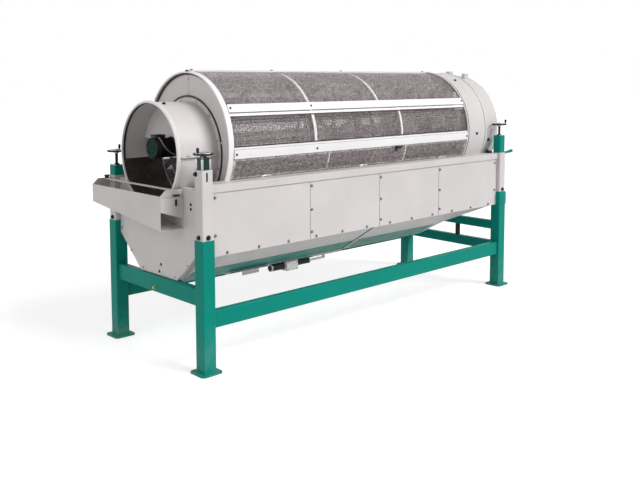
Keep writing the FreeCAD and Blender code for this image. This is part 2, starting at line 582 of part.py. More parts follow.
# Front cover: a hexagonal pan between the front posts, notched for the collar
cover_points = [("-cover_half_floor", "cover_floor"), ("cover_half_floor", "cover_floor"),
                ("cover_half_wide", "cover_knee"), ("cover_half_wide", "cover_top"),
                ("-cover_half_wide", "cover_top"), ("-cover_half_wide", "cover_knee")]
COVER_DEEP = "-cover_x - (%s)" % POST_INNER_X
pan = profile("cover_whole", "YZ_Plane", cover_points, COVER_DEEP, "cover_x")
pan_inner = [("-cover_half_floor + sheet", "cover_floor + sheet"),
             ("cover_half_floor - sheet", "cover_floor + sheet"),
             ("cover_half_wide - sheet", "cover_knee + sheet"), ("cover_half_wide - sheet", "cover_top - sheet"),
             ("-cover_half_wide + sheet", "cover_top - sheet"), ("-cover_half_wide + sheet", "cover_knee + sheet")]
pan_hollow = profile("cover_hollow", "YZ_Plane", pan_inner, COVER_DEEP, "cover_x + sheet")
notch = make("Cylinder", "cover_notch", ("cover_x - 1", 0, "collar_axis"), ALONG_X,
             Radius="collar + cover_gap", Height=COVER_DEEP + " + 2")
keep(cut_all("front_cover", pan, [pan_hollow, notch]), "front_cover")

# Front end of the drum chamber: end plate halves, rim and collar halves
end_disc = round_bar("end_disc", "2 * (guard - rim_thick)", "end_plate", "guard_front")
upper_half = block("end_upper_half", ("guard_front - 1", "-guard", "drum_axis + end_split + rest_gap / 2"),
                   ("guard_front + end_plate + 1", "guard", "drum_axis + guard"))
lower_half = block("end_lower_half", ("guard_front - 1", "-guard", "drum_axis - guard"),
                   ("guard_front + end_plate + 1", "guard", "drum_axis + end_split - rest_gap / 2"))
shaft_hole = round_bar("end_shaft_hole", "shaft_across + 8", "end_plate + 4", "guard_front - 2")
mouth = round_bar("end_mouth", "2 * (collar - sheet)", "end_plate + 4", "guard_front - 2", z="collar_axis")
keep(cut("end_plate_upper", common("end_upper", [end_disc, upper_half]), shaft_hole), "end_plate_upper")
keep(cut("end_plate_lower", common("end_lower", [end_disc, lower_half]), mouth), "end_plate_lower")

TRIM_ANGLE = math.degrees(math.asin((value("drum_axis") - value("rail_top")) / value("guard")))
SIDE_LOW = str(round(-TRIM_ANGLE, 4))
SIDE_HIGH = str(round(180 + TRIM_ANGLE, 4))
keep(shell("front_rim", "guard", "rim_thick", "guard_front - rim_lip", "guard_front + rim_wide - rim_lip",
           SIDE_LOW, SIDE_HIGH), "front_rim")

SEAM = math.degrees(value("collar_seam") / 2 / value("collar"))
collars = {}
for half, (low, high) in {"upper": (0, 180), "lower": (-180, 0)}.items():
    low, high = str(low + SEAM), str(high - SEAM)
    tube = shell("collar_%s_tube" % half, "collar", "sheet", "collar_front", "guard_front", low, high,
                 z="collar_axis")
    bead = shell("collar_%s_bead" % half, "collar + collar_bead", "collar_bead + sheet", "collar_front",
                 "collar_front + collar_bead", low, high, z="collar_axis")
    flange = shell("collar_%s_flange" % half, "collar + collar_flange", "collar_flange + sheet",
                   "guard_front - collar_flange_thick", "guard_front", low, high, z="collar_axis")
    collars[half] = [tube, bead, flange]
BULKHEAD_X = "motor_rear + motor_long - 2 * sheet"
bulkhead_disc = round_bar("bulkhead_disc", "2 * collar - sheet", "sheet", BULKHEAD_X, z="collar_axis")
bulkhead_zone = block("bulkhead_zone", (BULKHEAD_X + " - 1", "-collar", "collar_axis + bulkhead_rise"),
                      (BULKHEAD_X + " + sheet + 1", "collar", "collar_axis + collar"))
bulkhead_hole = round_bar("bulkhead_hole", "motor_across + 2 * cover_gap", "sheet + 2", BULKHEAD_X + " - 1",
                          z="motor_axis")
bulkhead = cut("bulkhead", common("bulkhead_upper", [bulkhead_disc, bulkhead_zone]), bulkhead_hole)
keep(fuse("collar_upper", collars["upper"] + [bulkhead]), "collar_upper")
keep(fuse("collar_lower", collars["lower"]), "collar_lower")

# Guard: longitudinal rails, hoops, mesh rows, access door, hood and rear housing
GUARD_START = "guard_front + rim_wide - rim_lip"


def guard_rail(name, angle):
    """A flat rail on the guard at one angle."""
    half = math.degrees(math.asin(value("guard_rail_wide") / 2 / value("guard")))
    low, high = str(angle - half), str(angle + half)
    return shell(name, "guard + guard_rail_thick", "guard_rail_thick", GUARD_START, "hood_front", low, high)


rails = [guard_rail("rail_ridge", 90)]
for label, angle in (("upper", value("upper_rail_angle")), ("lower", value("lower_rail_angle"))):
    rails.append(guard_rail("rail_near_" + label, angle))
    rails.append(guard_rail("rail_far_" + label, 180 - angle))

MESH_BAY = "(hood_front - (%s)) / mesh_bays" % GUARD_START


def mesh_sheet(name, low, high):
    """A rolled sheet of the guard with a plain grid of openings between its strips."""
    plain = shell(name + "_plain", "guard", "guard_sheet", GUARD_START, "hood_front", low, high)
    bays = [block("%s_bay_%d" % (name, number),
                  ("%s + %d * %s + mesh_strip / 2" % (GUARD_START, number, MESH_BAY), "-guard", "drum_axis - guard"),
                  ("%s + %d * %s - mesh_strip / 2" % (GUARD_START, number + 1, MESH_BAY), "guard",
                   "drum_axis + guard"))
            for number in range(int(value("mesh_bays")))]
    first, sweep = value(low), value(high) - value(low)
    count = max(1, round(sweep / value("mesh_row_pitch")))
    edge = math.degrees(value("mesh_strip") / 2 / value("guard"))
    gaps = [shell("%s_gap_%d" % (name, number), "guard + 1", "guard_sheet + 2", GUARD_START, "hood_front",
                  str(first + sweep * number / count + edge), str(first + sweep * (number + 1) / count - edge))
            for number in range(count)]
    openings = common(name + "_openings", [group(name + "_gaps", gaps), group(name + "_bays", bays)])
    return cut(name, plain, openings)


HINGE_Z = "rail_top + door_barrel / 2 + 1"
HINGE_Y = repr(round(-math.sqrt(value("guard") ** 2 - (value("drum_axis") - value(HINGE_Z)) ** 2)
                     - value("door_barrel") / 2 + 1, 3))
HINGES = ["%d * door_hinge_pitch + door_hinge_shift" % step for step in (-1, 0, 1)]
door_sheet = shell("door_sheet", "guard", "guard_sheet", GUARD_START + " + rest_gap", "hood_front - rest_gap",
                   str(round(-TRIM_ANGLE + 0.04, 4)), "door_top_angle")
barrels = [round_bar("door_barrel_%d" % number, "door_barrel", "door_barrel_long",
                     x + " - door_barrel_long / 2", HINGE_Y, HINGE_Z) for number, x in enumerate(HINGES)]
barrel_bore = round_bar("door_barrel_bore", "door_pin + 2 * turn_gap", "hood_front - guard_front", "guard_front",
                        HINGE_Y, HINGE_Z)
door_angle = math.radians(-value("door_top_angle"))
LATCH_Z = "drum_axis - guard * %r - latch_drop" % math.sin(door_angle)
LATCH_Y = "-guard * %r" % math.cos(door_angle)
latch = block("door_latch", ("latch_x - latch_long / 2", LATCH_Y + " - latch_deep", LATCH_Z + " - latch_high / 2"),
              ("latch_x + latch_long / 2", LATCH_Y + " + 3", LATCH_Z + " + latch_high / 2"))
keep(cut("access_door", fuse("door_whole", [door_sheet, latch] + barrels), barrel_bore), "access_door")

ears = []
for number, x in enumerate(HINGES):
    pin_long = "door_barrel_long + 2 * door_ear + 2 * rest_gap"
    ears.append(round_bar("door_pin_%d" % number, "door_pin", pin_long, "%s - (%s) / 2" % (x, pin_long),
                          HINGE_Y, HINGE_Z))
    for word, sign in (("front", -1), ("rear", 1)):
        middle = "%s + %d * (door_barrel_long + door_ear + 2 * rest_gap) / 2" % (x, sign)
        ears.append(block("door_ear_%d_%s" % (number, word),
                          (middle + " - door_ear / 2", HINGE_Y + " - door_ear_round / 2", "rail_top - rail_plate / 2"),
                          (middle + " + door_ear / 2", HINGE_Y + " + door_ear_round / 2", HINGE_Z)))
        ears.append(round_bar("door_eye_%d_%s" % (number, word), "door_ear_round", "door_ear",
                              middle + " - door_ear / 2", HINGE_Y, HINGE_Z))
keep(fuse("top_rail_near", [rail_bodies["near"]] + ears), "top_rail_near")

keep(group("guard_mesh_top", [mesh_sheet("mesh_top_near", "upper_rail_angle", "90 - row_gap / 2"),
                              mesh_sheet("mesh_top_far", "90 + row_gap / 2", "180 - upper_rail_angle")]),
     "guard_mesh_top")
keep(mesh_sheet("guard_mesh_near", "lower_rail_angle", "upper_rail_angle - row_gap"), "guard_mesh_near")
keep(mesh_sheet("guard_mesh_far", "180 - upper_rail_angle + row_gap", SIDE_HIGH), "guard_mesh_far")


def hoop(name, x, low, high):
    """A hoop bar under the guard's mesh."""
    return shell(name, "guard - guard_sheet", "hoop_thick", "%s - hoop_wide / 2" % x,
                 "%s + hoop_wide / 2" % x, low, high)


hoops = [hoop("hoop_whole", "hoop_whole_x", "lower_rail_angle", "180 - lower_rail_angle"),
         hoop("hoop_top", "hoop_top_x", "upper_rail_angle", "180 - upper_rail_angle"),
         hoop("hoop_near", "hoop_side_x", "lower_rail_angle", "upper_rail_angle"),
         hoop("hoop_far", "hoop_side_x", "180 - upper_rail_angle", "180 - lower_rail_angle")]
keep(group("guard_frame", rails + hoops), "guard_frame")

band = shell("hood_band", "guard", "sheet", "hood_front", "hood_rear", SIDE_LOW, SIDE_HIGH)
hood_rim = shell("hood_rim", "guard + hoop_thick", "hoop_thick + sheet", "hood_front", "hood_front + hoop_wide",
                 SIDE_LOW, SIDE_HIGH)
step = shell("hood_step", "guard", "guard - housing + sheet", "hood_rear - sheet", "hood_rear", SIDE_LOW,
             SIDE_HIGH)
hood_under = block("hood_under", ("hood_front - 1", "-frame_width / 2", "casing_bottom"),
                   ("hood_rear + 1", "frame_width / 2", "rail_top"))
keep(cut("rear_hood", fuse("hood_whole", [band, hood_rim, step]), hood_under), "rear_hood")

tube = shell("housing_tube", "housing", "sheet", "hood_rear", "housing_rear")
back = round_bar("housing_back", "2 * housing", "sheet", "housing_rear - sheet")
spout = block("spout_outer", ("housing_rear", "-spout_wide / 2", "spout_z - spout_high / 2"),
              ("housing_rear + spout_reach", "spout_wide / 2", "spout_z + spout_high / 2"))
spout_rim = block("spout_rim", ("housing_rear + spout_reach - 2 * sheet", "-spout_wide / 2 - spout_flange",
                                "spout_z - spout_high / 2 - spout_flange"),
                  ("housing_rear + spout_reach", "spout_wide / 2 + spout_flange",
                   "spout_z + spout_high / 2 + spout_flange"))
spout_way = block("spout_way", ("housing_rear - 2 * sheet", "-spout_wide / 2 + sheet",
                                "spout_z - spout_high / 2 + sheet"),
                  ("housing_rear + spout_reach + 1", "spout_wide / 2 - sheet", "spout_z + spout_high / 2 - sheet"))
lugs = [block("housing_lug_%d" % number, ("lug_x + %d * lug_long" % number, y + " - lug_wide / 2", "drum_axis"),
              ("lug_x + %d * lug_long" % (number + 1), y + " + lug_wide / 2", z + " + lug_high"))
        for number, (y, z) in enumerate((("0", "drum_axis + housing"),
                                         ("lug_side_y", "drum_axis + sqrt(housing ^ 2 - lug_side_y ^ 2)")))]
housing_core = round_bar("housing_core", "2 * housing - sheet", "housing_rear - hood_rear", "hood_rear")
housing_lugs = cut("housing_lugs", group("housing_lug_pair", lugs), housing_core)
housing_body = cut("housing_body", fuse("housing_whole", [tube, back, housing_lugs]), spout_way)
spout_body = cut("spout_body", fuse("spout_whole", [spout, spout_rim]), spout_way)
keep(group("feed_housing", [housing_body, spout_body]), "feed_housing")

# Drum: shaft, rings, bars and spiders, outer screen and two lengths of inner screen
keep(round_bar("drum_shaft", "shaft_across", "shaft_rear - shaft_front", "shaft_front"), "drum_shaft")

RING_OUT = "outer_screen - screen_sheet - screen_gap"
RING_IN = "(%s - ring_depth)" % RING_OUT
INNER_OUT = "inner_screen - screen_sheet - screen_gap"
ring_count = int(value("drum_rings"))
RING_X = ["drum_front + %d * (drum_rear - drum_front - drum_ring) / (drum_rings - 1)" % number
          for number in range(ring_count)] + ["inner_end - drum_ring"]
FRONT_X, MIDDLE_X, REAR_X, INNER_END_X = RING_X[0], RING_X[ring_count // 2], RING_X[-2], RING_X[-1]
rings = [shell("drum_ring_%d" % number, RING_OUT, "ring_depth", x, x + " + drum_ring")
         for number, x in enumerate(RING_X)]
for number, x in enumerate((FRONT_X + " + drum_ring", MIDDLE_X + " - inner_ring_wide",
                            MIDDLE_X + " + drum_ring", INNER_END_X + " - inner_ring_wide")):
    rings.append(shell("inner_ring_%d" % number, INNER_OUT, "ring_depth", x, x + " + inner_ring_wide"))
keep(group("drum_rings", rings), "drum_rings")


def spoke_box(name, turn, start, long, wide, low, high):
    """A flat bar turned about the drum's axis, from one distance off the axis to another."""
    radians = math.radians(turn)
    thing = make("Box", name, (start, "-%r * (%s) - %r * (%s) / 2" % (math.sin(radians), low,
                                                                       math.cos(radians), wide),
                               "drum_axis + %r * (%s) - %r * (%s) / 2" % (math.cos(radians), low,
                                                                          math.sin(radians), wide)),
                 FreeCAD.Rotation(X_AXIS, turn), Length=long, Width=wide, Height="(%s) - (%s)" % (high, low))
    return thing


def flat_reach(wide):
    """How far out a flat bar of this width reaches inside the outer rings."""
    return "sqrt(%s ^ 2 - (%s / 2) ^ 2) - rest_gap" % (RING_IN, wide)


BAR_REACH = flat_reach("drum_bar_wide")
bar_turn = 360 / value("drum_bars")
keep(group("drum_bars", [spoke_box("drum_bar_%d" % number, bar_turn * (number + 0.5), "drum_front",
                                   "drum_rear - drum_front", "drum_bar_wide", BAR_REACH + " - drum_bar_thick",
                                   BAR_REACH) for number in range(int(value("drum_bars")))]), "drum_bars")

arm_turn = 360 / value("spider_arms")
arms, hubs = [], []
for place, x in enumerate((FRONT_X, MIDDLE_X, INNER_END_X, REAR_X)):
    hub_start = x if place == 0 else x + " + drum_ring - spider_hub_long"
    hubs.append(round_bar("spider_hub_%d" % place, "spider_hub", "spider_hub_long", hub_start))
    for number in range(int(value("spider_arms"))):
        arms.append(spoke_box("spider_arm_%d_%d" % (place, number), arm_turn * number, x, "drum_ring",
                              "spider_arm_wide", "shaft_across / 2", flat_reach("spider_arm_wide")))
hub_group = group("spider_hub_group", hubs)
bore = round_bar("drum_bore", "shaft_across", "drum_rear - drum_front + 2", "drum_front - 1")
keep(group("drum_spiders", [cut("spider_arm_set", group("spider_arm_group", arms), hub_group),
                            cut("spider_hub_set", hub_group, bore)]), "drum_spiders")
keep(shell("drum_outer_screen", "outer_screen", "screen_sheet", "drum_front", "drum_rear"),
     "drum_outer_screen")
keep(group("drum_inner_screen", [
    shell("inner_screen_front", "inner_screen", "screen_sheet", FRONT_X + " + drum_ring", MIDDLE_X),
    shell("inner_screen_rear", "inner_screen", "screen_sheet", MIDDLE_X + " + drum_ring", INNER_END_X)]),
     "drum_inner_screen")

# Drive across the collar and the rear bearing


BEAM_TOP = "motor_beam_z + motor_beam_high / 2"
beam_bar = hollow_bar("motor_beam_bar", "y", "2 * collar", "motor_beam_wide", "motor_beam_high", "tube_wall",
                      ("motor_beam_x", "-collar", "motor_beam_z - motor_beam_high / 2"))
collar_inside = round_bar("collar_inside", "2 * (collar - sheet)", "guard_front - collar_front", "collar_front",
                          z="collar_axis")
keep(common("motor_beam", [beam_bar, collar_inside]), "motor_beam")

GEAR_START = "motor_rear + motor_long"
gear_body = round_bar("gearbox_body", "gearbox_across", "gearbox_long", GEAR_START)
gear_foot = block("gearbox_foot", ("motor_beam_x", "-gearbox_across / 2", BEAM_TOP),
                  ("motor_beam_x + motor_beam_wide", "gearbox_across / 2", BEAM_TOP + " + 12"))
gear_leg = block("gearbox_leg", ("motor_beam_x", "-gearbox_across / 4", BEAM_TOP),
                 ("motor_beam_x + motor_beam_wide", "gearbox_across / 4", "drum_axis"))
gear_bore = round_bar("gearbox_bore", "shaft_across + 2 * turn_gap", "gearbox_long + motor_beam_wide",
                      "shaft_front - rest_gap")
gear_under = block("gearbox_under", ("motor_rear", "-gearbox_across", "drum_axis - gearbox_across"),
                   ("guard_front", "gearbox_across", BEAM_TOP))
keep(cut_all("gearbox", fuse("gearbox_whole", [gear_foot, gear_body, gear_leg]), [gear_bore, gear_under]),
     "gearbox")
keep(round_bar("drive_motor", "motor_across", "motor_long", "motor_rear", z="motor_axis"), "drive_motor")

BEARING_FOOT = "drum_axis - bearing_drop"
bearing_start = "shaft_rear - bearing_wide"
rear_ring = round_bar("rear_bearing_body", "bearing_across", "bearing_wide", bearing_start)
rear_foot = block("rear_bearing_foot", (bearing_start, "-bearing_base / 2", BEARING_FOOT),
                  ("shaft_rear", "bearing_base / 2", BEARING_FOOT + " + 30"))
rear_bar = block("rear_bearing_bar", (bearing_start, "-housing", BEARING_FOOT + " - motor_beam_high"),
                 ("shaft_rear", "housing", BEARING_FOOT))
rear_beam = common("rear_bearing_beam",
                   [rear_bar, round_bar("housing_inside", "2 * (housing - sheet)", "housing_rear - hood_rear",
                                        "hood_rear")])
rear_bore = round_bar("rear_bearing_bore", "shaft_across + 2 * turn_gap", "bearing_wide + 2",
                      bearing_start + " - 1")
keep(cut("rear_bearing_bracket", fuse("rear_bearing_whole", [rear_ring, rear_foot, rear_beam]), rear_bore),
     "rear_bearing_bracket")

# Discharge tray, notched round the far post, with a hook bar under the collar and a flap at its low end
TRAY_BACK = "cover_x"
POST_FRONT = "-(frame_length / 2) + leg_wall + slide_gap - cover_gap"
tray_points = [("tray_near", "tray_floor_near"), ("tray_far", "tray_floor_far"), ("tray_far", "tray_back_top"),
               ("tray_near", "tray_back_top")]
tray_outer = profile("tray_outer", "YZ_Plane", tray_points, "%s - tray_front" % TRAY_BACK, "tray_front")
inner_points = [("tray_near - 5", "tray_floor_near + sheet"), ("tray_far - sheet", "tray_floor_far + sheet"),
                ("tray_far - sheet", "tray_back_top + 5"), ("tray_near - 5", "tray_back_top + 5")]
tray_inner = profile("tray_inner", "YZ_Plane", inner_points, "%s - tray_front - 2 * sheet" % TRAY_BACK,
                     "tray_front + sheet")
FAR_SHOULDER = INNER_Y + " - cover_gap"
inner_limit = block("tray_inner_limit", (POST_FRONT + " - sheet", FAR_SHOULDER + " - sheet", "tray_floor_near"),
                    (TRAY_BACK, "tray_far + 5", "tray_back_top + 5"))
post_notch = block("tray_post_notch", (POST_FRONT, FAR_SHOULDER, "tray_floor_near - 5"),
                   (TRAY_BACK + " + 5", "tray_far + 5", "tray_back_top + 5"))
collar_clear = make("Cylinder", "tray_collar_clear", ("collar_front - cover_gap", 0, "collar_axis"), ALONG_X,
                    Radius="collar + collar_bead + cover_gap", Height="cover_x - collar_front + 2 * cover_gap")
front_slant = profile("tray_slant", "XZ_Plane",
                      [("tray_front - 1", "tray_top"), ("tray_front + sheet", "tray_top"),
                       ("tray_front + tray_rise", "tray_back_top + 1"), ("tray_front - 1", "tray_back_top + 1")],
                      "frame_width", "-frame_width / 2")
tray_trough = cut_all("tray_trough", tray_outer,
                      [cut("tray_hollow", tray_inner, inner_limit), post_notch, collar_clear, front_slant])
hook_bar = block("tray_hook_bar", ("tray_bar_x", "tray_near", "tray_back_top - tray_bar"),
                 ("tray_bar_x + tray_bar", "tray_far", "tray_back_top"))
near_strip = profile("tray_near_strip", "XZ_Plane",
                     [("tray_front + sheet", "flap_pin_z + flap_barrel / 2 + 1"),
                      (TRAY_BACK + " - sheet", "flap_pin_z + flap_barrel / 2 + 1"),
                      (TRAY_BACK + " - sheet", "tray_back_top"), ("tray_front + tray_rise", "tray_back_top"),
                      ("tray_front + sheet", "tray_top")], "sheet", "tray_near")
flap_pin = round_bar("tray_flap_pin", "flap_pin", TRAY_BACK + " - tray_front - sheet", "tray_front + sheet / 2",
                     "tray_near + flap_barrel / 2", "flap_pin_z")
tray_knob = make("Cylinder", "tray_knob", ("tray_bar_x + tray_bar / 2", "tray_far - tray_knob_inset",
                                           "tray_back_top - tray_bar / 2"),
                 Radius="tray_knob / 2", Height="tray_bar / 2 + tray_knob_high")
LATCH_MIDDLE = "tray_front + latch_back"
STRIP_FOOT = "flap_pin_z + flap_barrel / 2 + 1"
latch_bar = block("tray_latch_bar", (LATCH_MIDDLE + " - latch_bar_long / 2", "tray_near - latch_bar_out",
                                     STRIP_FOOT + " + cover_gap"),
                  (LATCH_MIDDLE + " + latch_bar_long / 2", "tray_near + sheet / 2",
                   STRIP_FOOT + " + cover_gap + latch_bar_high"))
keep(fuse("discharge_tray", [tray_trough, hook_bar, near_strip, flap_pin, tray_knob, latch_bar]),
     "discharge_tray")

FLAP_START, FLAP_END = "tray_front + sheet + 1", TRAY_BACK + " - sheet - 1"
flap_plate = profile("flap_plate", "XZ_Plane",
                     [(FLAP_START, "flap_low_front"), (FLAP_END, "flap_low_back"), (FLAP_END, "flap_pin_z"),
                      (FLAP_START, "flap_pin_z")], "flap_thick", "tray_near")
flap_tube = round_bar("flap_barrel", "flap_barrel", "(%s) - (%s)" % (FLAP_END, FLAP_START), FLAP_START,
                      "tray_near + flap_barrel / 2", "flap_pin_z")
flap_bore = round_bar("flap_bore", "flap_pin + 2 * turn_gap", "(%s) - (%s) + 2" % (FLAP_END, FLAP_START),
                      FLAP_START + " - 1", "tray_near + flap_barrel / 2", "flap_pin_z")
latch_lever = block("flap_lever", (LATCH_MIDDLE + " - latch_lever_wide / 2", "tray_near - latch_lever_out",
                                   "flap_pin_z - flap_barrel / 2 - latch_lever_long"),
                    (LATCH_MIDDLE + " + latch_lever_wide / 2", "tray_near + flap_thick / 2",
                     "flap_pin_z - flap_barrel / 2"))
keep(cut("tray_flap", fuse("flap_whole", [flap_plate, flap_tube, latch_lever]), flap_bore), "tray_flap")

# Linear actuator of the rear gate, hung from the floor by its motor foot
ACT_Z = "hopper_floor - actuator_drop"
ROD_END = GATE_REAR_START
TUBE_END = ROD_END + " - gate_rear_travel - cover_gap"
TUBE_START = TUBE_END + " - actuator_tube_long"
BOX_START = TUBE_START + " - actuator_box_long"
MOTOR_START = BOX_START + " - actuator_motor_long"
act_motor = round_bar("actuator_motor", "actuator_motor_across", "actuator_motor_long", MOTOR_START,
                      "actuator_y", ACT_Z)
act_box = block("actuator_box", (BOX_START, "actuator_y - actuator_across", ACT_Z + " - actuator_box_high / 2"),
                (TUBE_START, "actuator_y + actuator_across", ACT_Z + " + actuator_box_high / 2"))
act_tube = round_bar("actuator_tube", "actuator_across", "actuator_tube_long", TUBE_START, "actuator_y", ACT_Z)
act_foot = block("actuator_foot", (BOX_START, "actuator_y - actuator_across / 2", ACT_Z),
                 (TUBE_START, "actuator_y + actuator_across / 2", FLOOR_UNDER))
act_bore = round_bar("actuator_bore", "actuator_rod_across + 2 * turn_gap", "actuator_bore_deep + 1",
                     "%s - actuator_bore_deep" % TUBE_END, "actuator_y", ACT_Z)
keep(cut("gate_actuator", fuse("actuator_whole", [act_motor, act_box, act_tube, act_foot]), act_bore),
     "gate_actuator")
ROD_START = TUBE_END + " - actuator_rod_hold"
rod = round_bar("actuator_rod_bar", "actuator_rod_across", "%s + gate_lap - (%s)" % (ROD_END, ROD_START),
                ROD_START, "actuator_y", ACT_Z)
lug = block("actuator_rod_lug", (ROD_END, "actuator_y - actuator_rod_across / 2", ACT_Z),
            (ROD_END + " + gate_lap", "actuator_y + actuator_rod_across / 2", GATE_UNDER))
keep(fuse("actuator_rod", [rod, lug]), "actuator_rod")

doc.recompute()

problems = []
for thing in doc.Objects:
    if {"Invalid", "Error"} & set(thing.State):
        problems.append("%s: %s" % (thing.Name, thing.State))
for part in PARTS:
    if part.Shape.isNull() or not part.Shape.isValid():
        problems.append(part.Label + ": bad shape")
if problems:
    raise SystemExit("\n".join(problems))
for part in PARTS:
    part.Shape.exportStep("parts/%s.step" % part.Label)
    box = part.Shape.BoundBox
    print("%-26s %d solids  %9.0f cm3  x %.0f..%.0f  y %.0f..%.0f  z %.0f..%.0f" % (
        part.Label, len(part.Shape.Solids), part.Shape.Volume / 1000, box.XMin, box.XMax, box.YMin,
        box.YMax, box.ZMin, box.ZMax))
print(len(PARTS), "parts")
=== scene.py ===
"""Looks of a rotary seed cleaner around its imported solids: screens, guard, casing, drive and stage."""

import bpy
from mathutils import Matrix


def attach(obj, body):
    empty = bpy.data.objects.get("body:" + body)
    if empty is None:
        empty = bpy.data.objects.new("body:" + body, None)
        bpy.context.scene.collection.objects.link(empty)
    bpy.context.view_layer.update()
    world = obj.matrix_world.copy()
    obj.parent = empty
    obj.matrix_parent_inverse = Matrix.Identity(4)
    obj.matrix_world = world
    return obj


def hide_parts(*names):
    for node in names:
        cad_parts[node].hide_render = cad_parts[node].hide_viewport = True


bl_info = {
    "name": "Rotary seed cleaner",
    "version": (1, 0, 0),
    "blender": (4, 5, 0),
    "location": "3D View > Sidebar > Seed cleaner",
    "description": "Builds the mesh, sheet metal, drive and fittings of a rotary seed cleaner",
    "category": "Object",
}

from math import cos, radians, sin

import bmesh
import bpy
from bpy.props import FloatProperty, FloatVectorProperty, IntProperty, PointerProperty
from mathutils import Matrix, Vector
from mathutils.geometry import interpolate_bezier

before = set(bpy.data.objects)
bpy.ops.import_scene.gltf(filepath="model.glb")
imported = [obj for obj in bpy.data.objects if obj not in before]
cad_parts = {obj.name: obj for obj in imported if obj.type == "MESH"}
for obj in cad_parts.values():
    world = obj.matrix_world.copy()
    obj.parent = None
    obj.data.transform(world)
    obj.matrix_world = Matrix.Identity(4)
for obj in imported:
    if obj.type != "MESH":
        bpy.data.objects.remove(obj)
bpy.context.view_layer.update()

# Where the main shapes are, in metres. The drum and the guard share one axis along X, and their angles
# are measured in degrees from level on the near side, up over the top.
DRUM_Z, COLLAR_Z = 1.520, 1.460

# The guard's radii (its end hoops, the outside of its mesh, the outside of its rails) and its two ends,
# and the angles between which the hood's rims and its dark strips of painted shadow run.
GUARD, GUARD_SKIN, RAIL = 0.528, 0.5285, 0.540
GUARD_START, GUARD_END = -1.419, 1.260
HOOD_ARC = (-26, 206)

# The fronts of the end plate and the front cover, the outside of the side panels and where these meet.
END_X, COVER_X, PANEL_Y = -1.4352, -1.716, 0.585
BAY_JOINTS = (-0.758, 0.010, 0.778)

# The foot of the hopper's sloping sides, and their rise for each metre outwards.
SLOPE_FOOT_Y, SLOPE_FOOT_Z, SLOPE_RISE = 0.2, 0.550, 0.6361

# The legs' middle lines, and the widths of a leg, of the post that slides in it and of a beam.
FOOT_X, FOOT_Y = 1.710, 0.575
LEG, POST, BEAM = 0.100, 0.089, 0.060

X, Y, Z = Vector((1, 0, 0)), Vector((0, 1, 0)), Vector((0, 0, 1))
ORIGIN = Vector((0, 0, 0))
SIDES = (-1, 1)
CORNERS = [(end, side) for end in (-1, 1) for side in SIDES]


def colour_setting(name, description, default):
    return FloatVectorProperty(name=name, description=description, default=default, subtype="COLOR",
                               size=3, min=0, max=1)


def length_setting(name, description, default):
    return FloatProperty(name=name, description=description, default=default, subtype="DISTANCE",
                         unit="LENGTH", min=0.0001, precision=4)


class SeedCleanerSizes(bpy.types.PropertyGroup):
    """Sizes of the pieces that are modelled here."""
    guard_pitch: length_setting("Guard mesh pitch", "Distance between the wires of the guard", 0.014)
    guard_wire: length_setting("Guard wire", "Thickness of the guard's wires", 0.0026)
    screen_pitch: length_setting("Screen pitch", "Distance between the wires of the outer screen", 0.013)
    screen_wire: length_setting("Screen wire", "Thickness of the outer screen's wires", 0.004)
    inner_pitch: length_setting("Inner screen pitch", "Distance between the wires of the inner screen", 0.026)
    bolt_across: length_setting("Bolt size", "Width of a casing bolt's head across its flats", 0.017)
    weld: length_setting("Weld size", "Width of a weld bead's face", 0.009)
    thread_pitch: length_setting("Screw pitch", "Distance between two turns of a jack screw's thread", 0.005)
    rolled_steps: IntProperty(name="Rolled steps", description="Facets round a whole rolled sheet",
                              default=90, min=12)


class SeedCleanerColours(bpy.types.PropertyGroup):
    """Colours of the finishes."""
    green: colour_setting("Green enamel", "Legs, beams and nut blocks", (0.002, 0.215, 0.168))
    grey: colour_setting("Grey enamel", "Casing, hopper, collar and tray", (0.565, 0.535, 0.533))
    white: colour_setting("White enamel", "Guard rails and the rims of the casing", (0.77, 0.755, 0.755))
    wire: colour_setting("Mesh wire", "Guard and screens", (0.6, 0.54, 0.545))
    drum: colour_setting("Drum steel", "Rings, bars and spiders of the drum", (0.19, 0.16, 0.16))
    zinc: colour_setting("Zinc plate", "Bolts, pins and rods", (0.52, 0.52, 0.53))
    dull: colour_setting("Dull zinc", "Bolts of the side panels", (0.25, 0.245, 0.245))
    black: colour_setting("Black fittings", "Handwheels, latches and actuator", (0.009, 0.009, 0.01))
    brass: colour_setting("Brass", "Earth bolt of the front beam", (0.62, 0.42, 0.10))
    cable: colour_setting("Cable", "Sheath of the motor's cable", (0.2, 0.2, 0.2))
    # Painted shade: near-black for the strips, rings and liner that stand for shadow lines and the shaded
    # inside of the collar.
    painted_shade_black: colour_setting("Rubber", "Liner and seals of the discharge end", (0.022, 0.014, 0.014))
    motor: colour_setting("Motor enamel", "Motor and gearbox", (0.001, 0.03, 0.024))
    floor: colour_setting("Floor", "The pale floor", (0.5, 0.5, 0.5))


def sizes():
    return bpy.context.scene.seed_cleaner_sizes


def colours():
    return bpy.context.scene.seed_cleaner_colours


# Modelling

def round_normal(angle):
    """The direction outwards at an angle."""
    turn = radians(angle)
    return Vector((0, -cos(turn), sin(turn)))


def round_point(radius, angle, x, centre=DRUM_Z):
    """A point at an angle on a circle about a line along X."""
    return Vector((x, 0, centre)) + round_normal(angle) * radius


def on_leg(end, side, height=0.0):
    """A point on a leg's middle line: end -1 is the discharge end, side -1 the near side."""
    return Vector((end * FOOT_X, side * FOOT_Y, height))


def object_mode():
    bpy.ops.object.mode_set(mode="OBJECT")


def clear_selection():
    if bpy.context.object and bpy.context.object.mode != "OBJECT":
        object_mode()
    bpy.ops.object.select_all(action="DESELECT")


def only(piece):
    clear_selection()
    piece.select_set(True)
    bpy.context.view_layer.objects.active = piece
    return piece


def named(name):
    piece = bpy.context.object
    piece.name = name
    piece.data.name = name
    return piece


def edit(piece):
    only(piece)
    bpy.ops.object.mode_set(mode="EDIT")
    bpy.ops.mesh.select_all(action="SELECT")


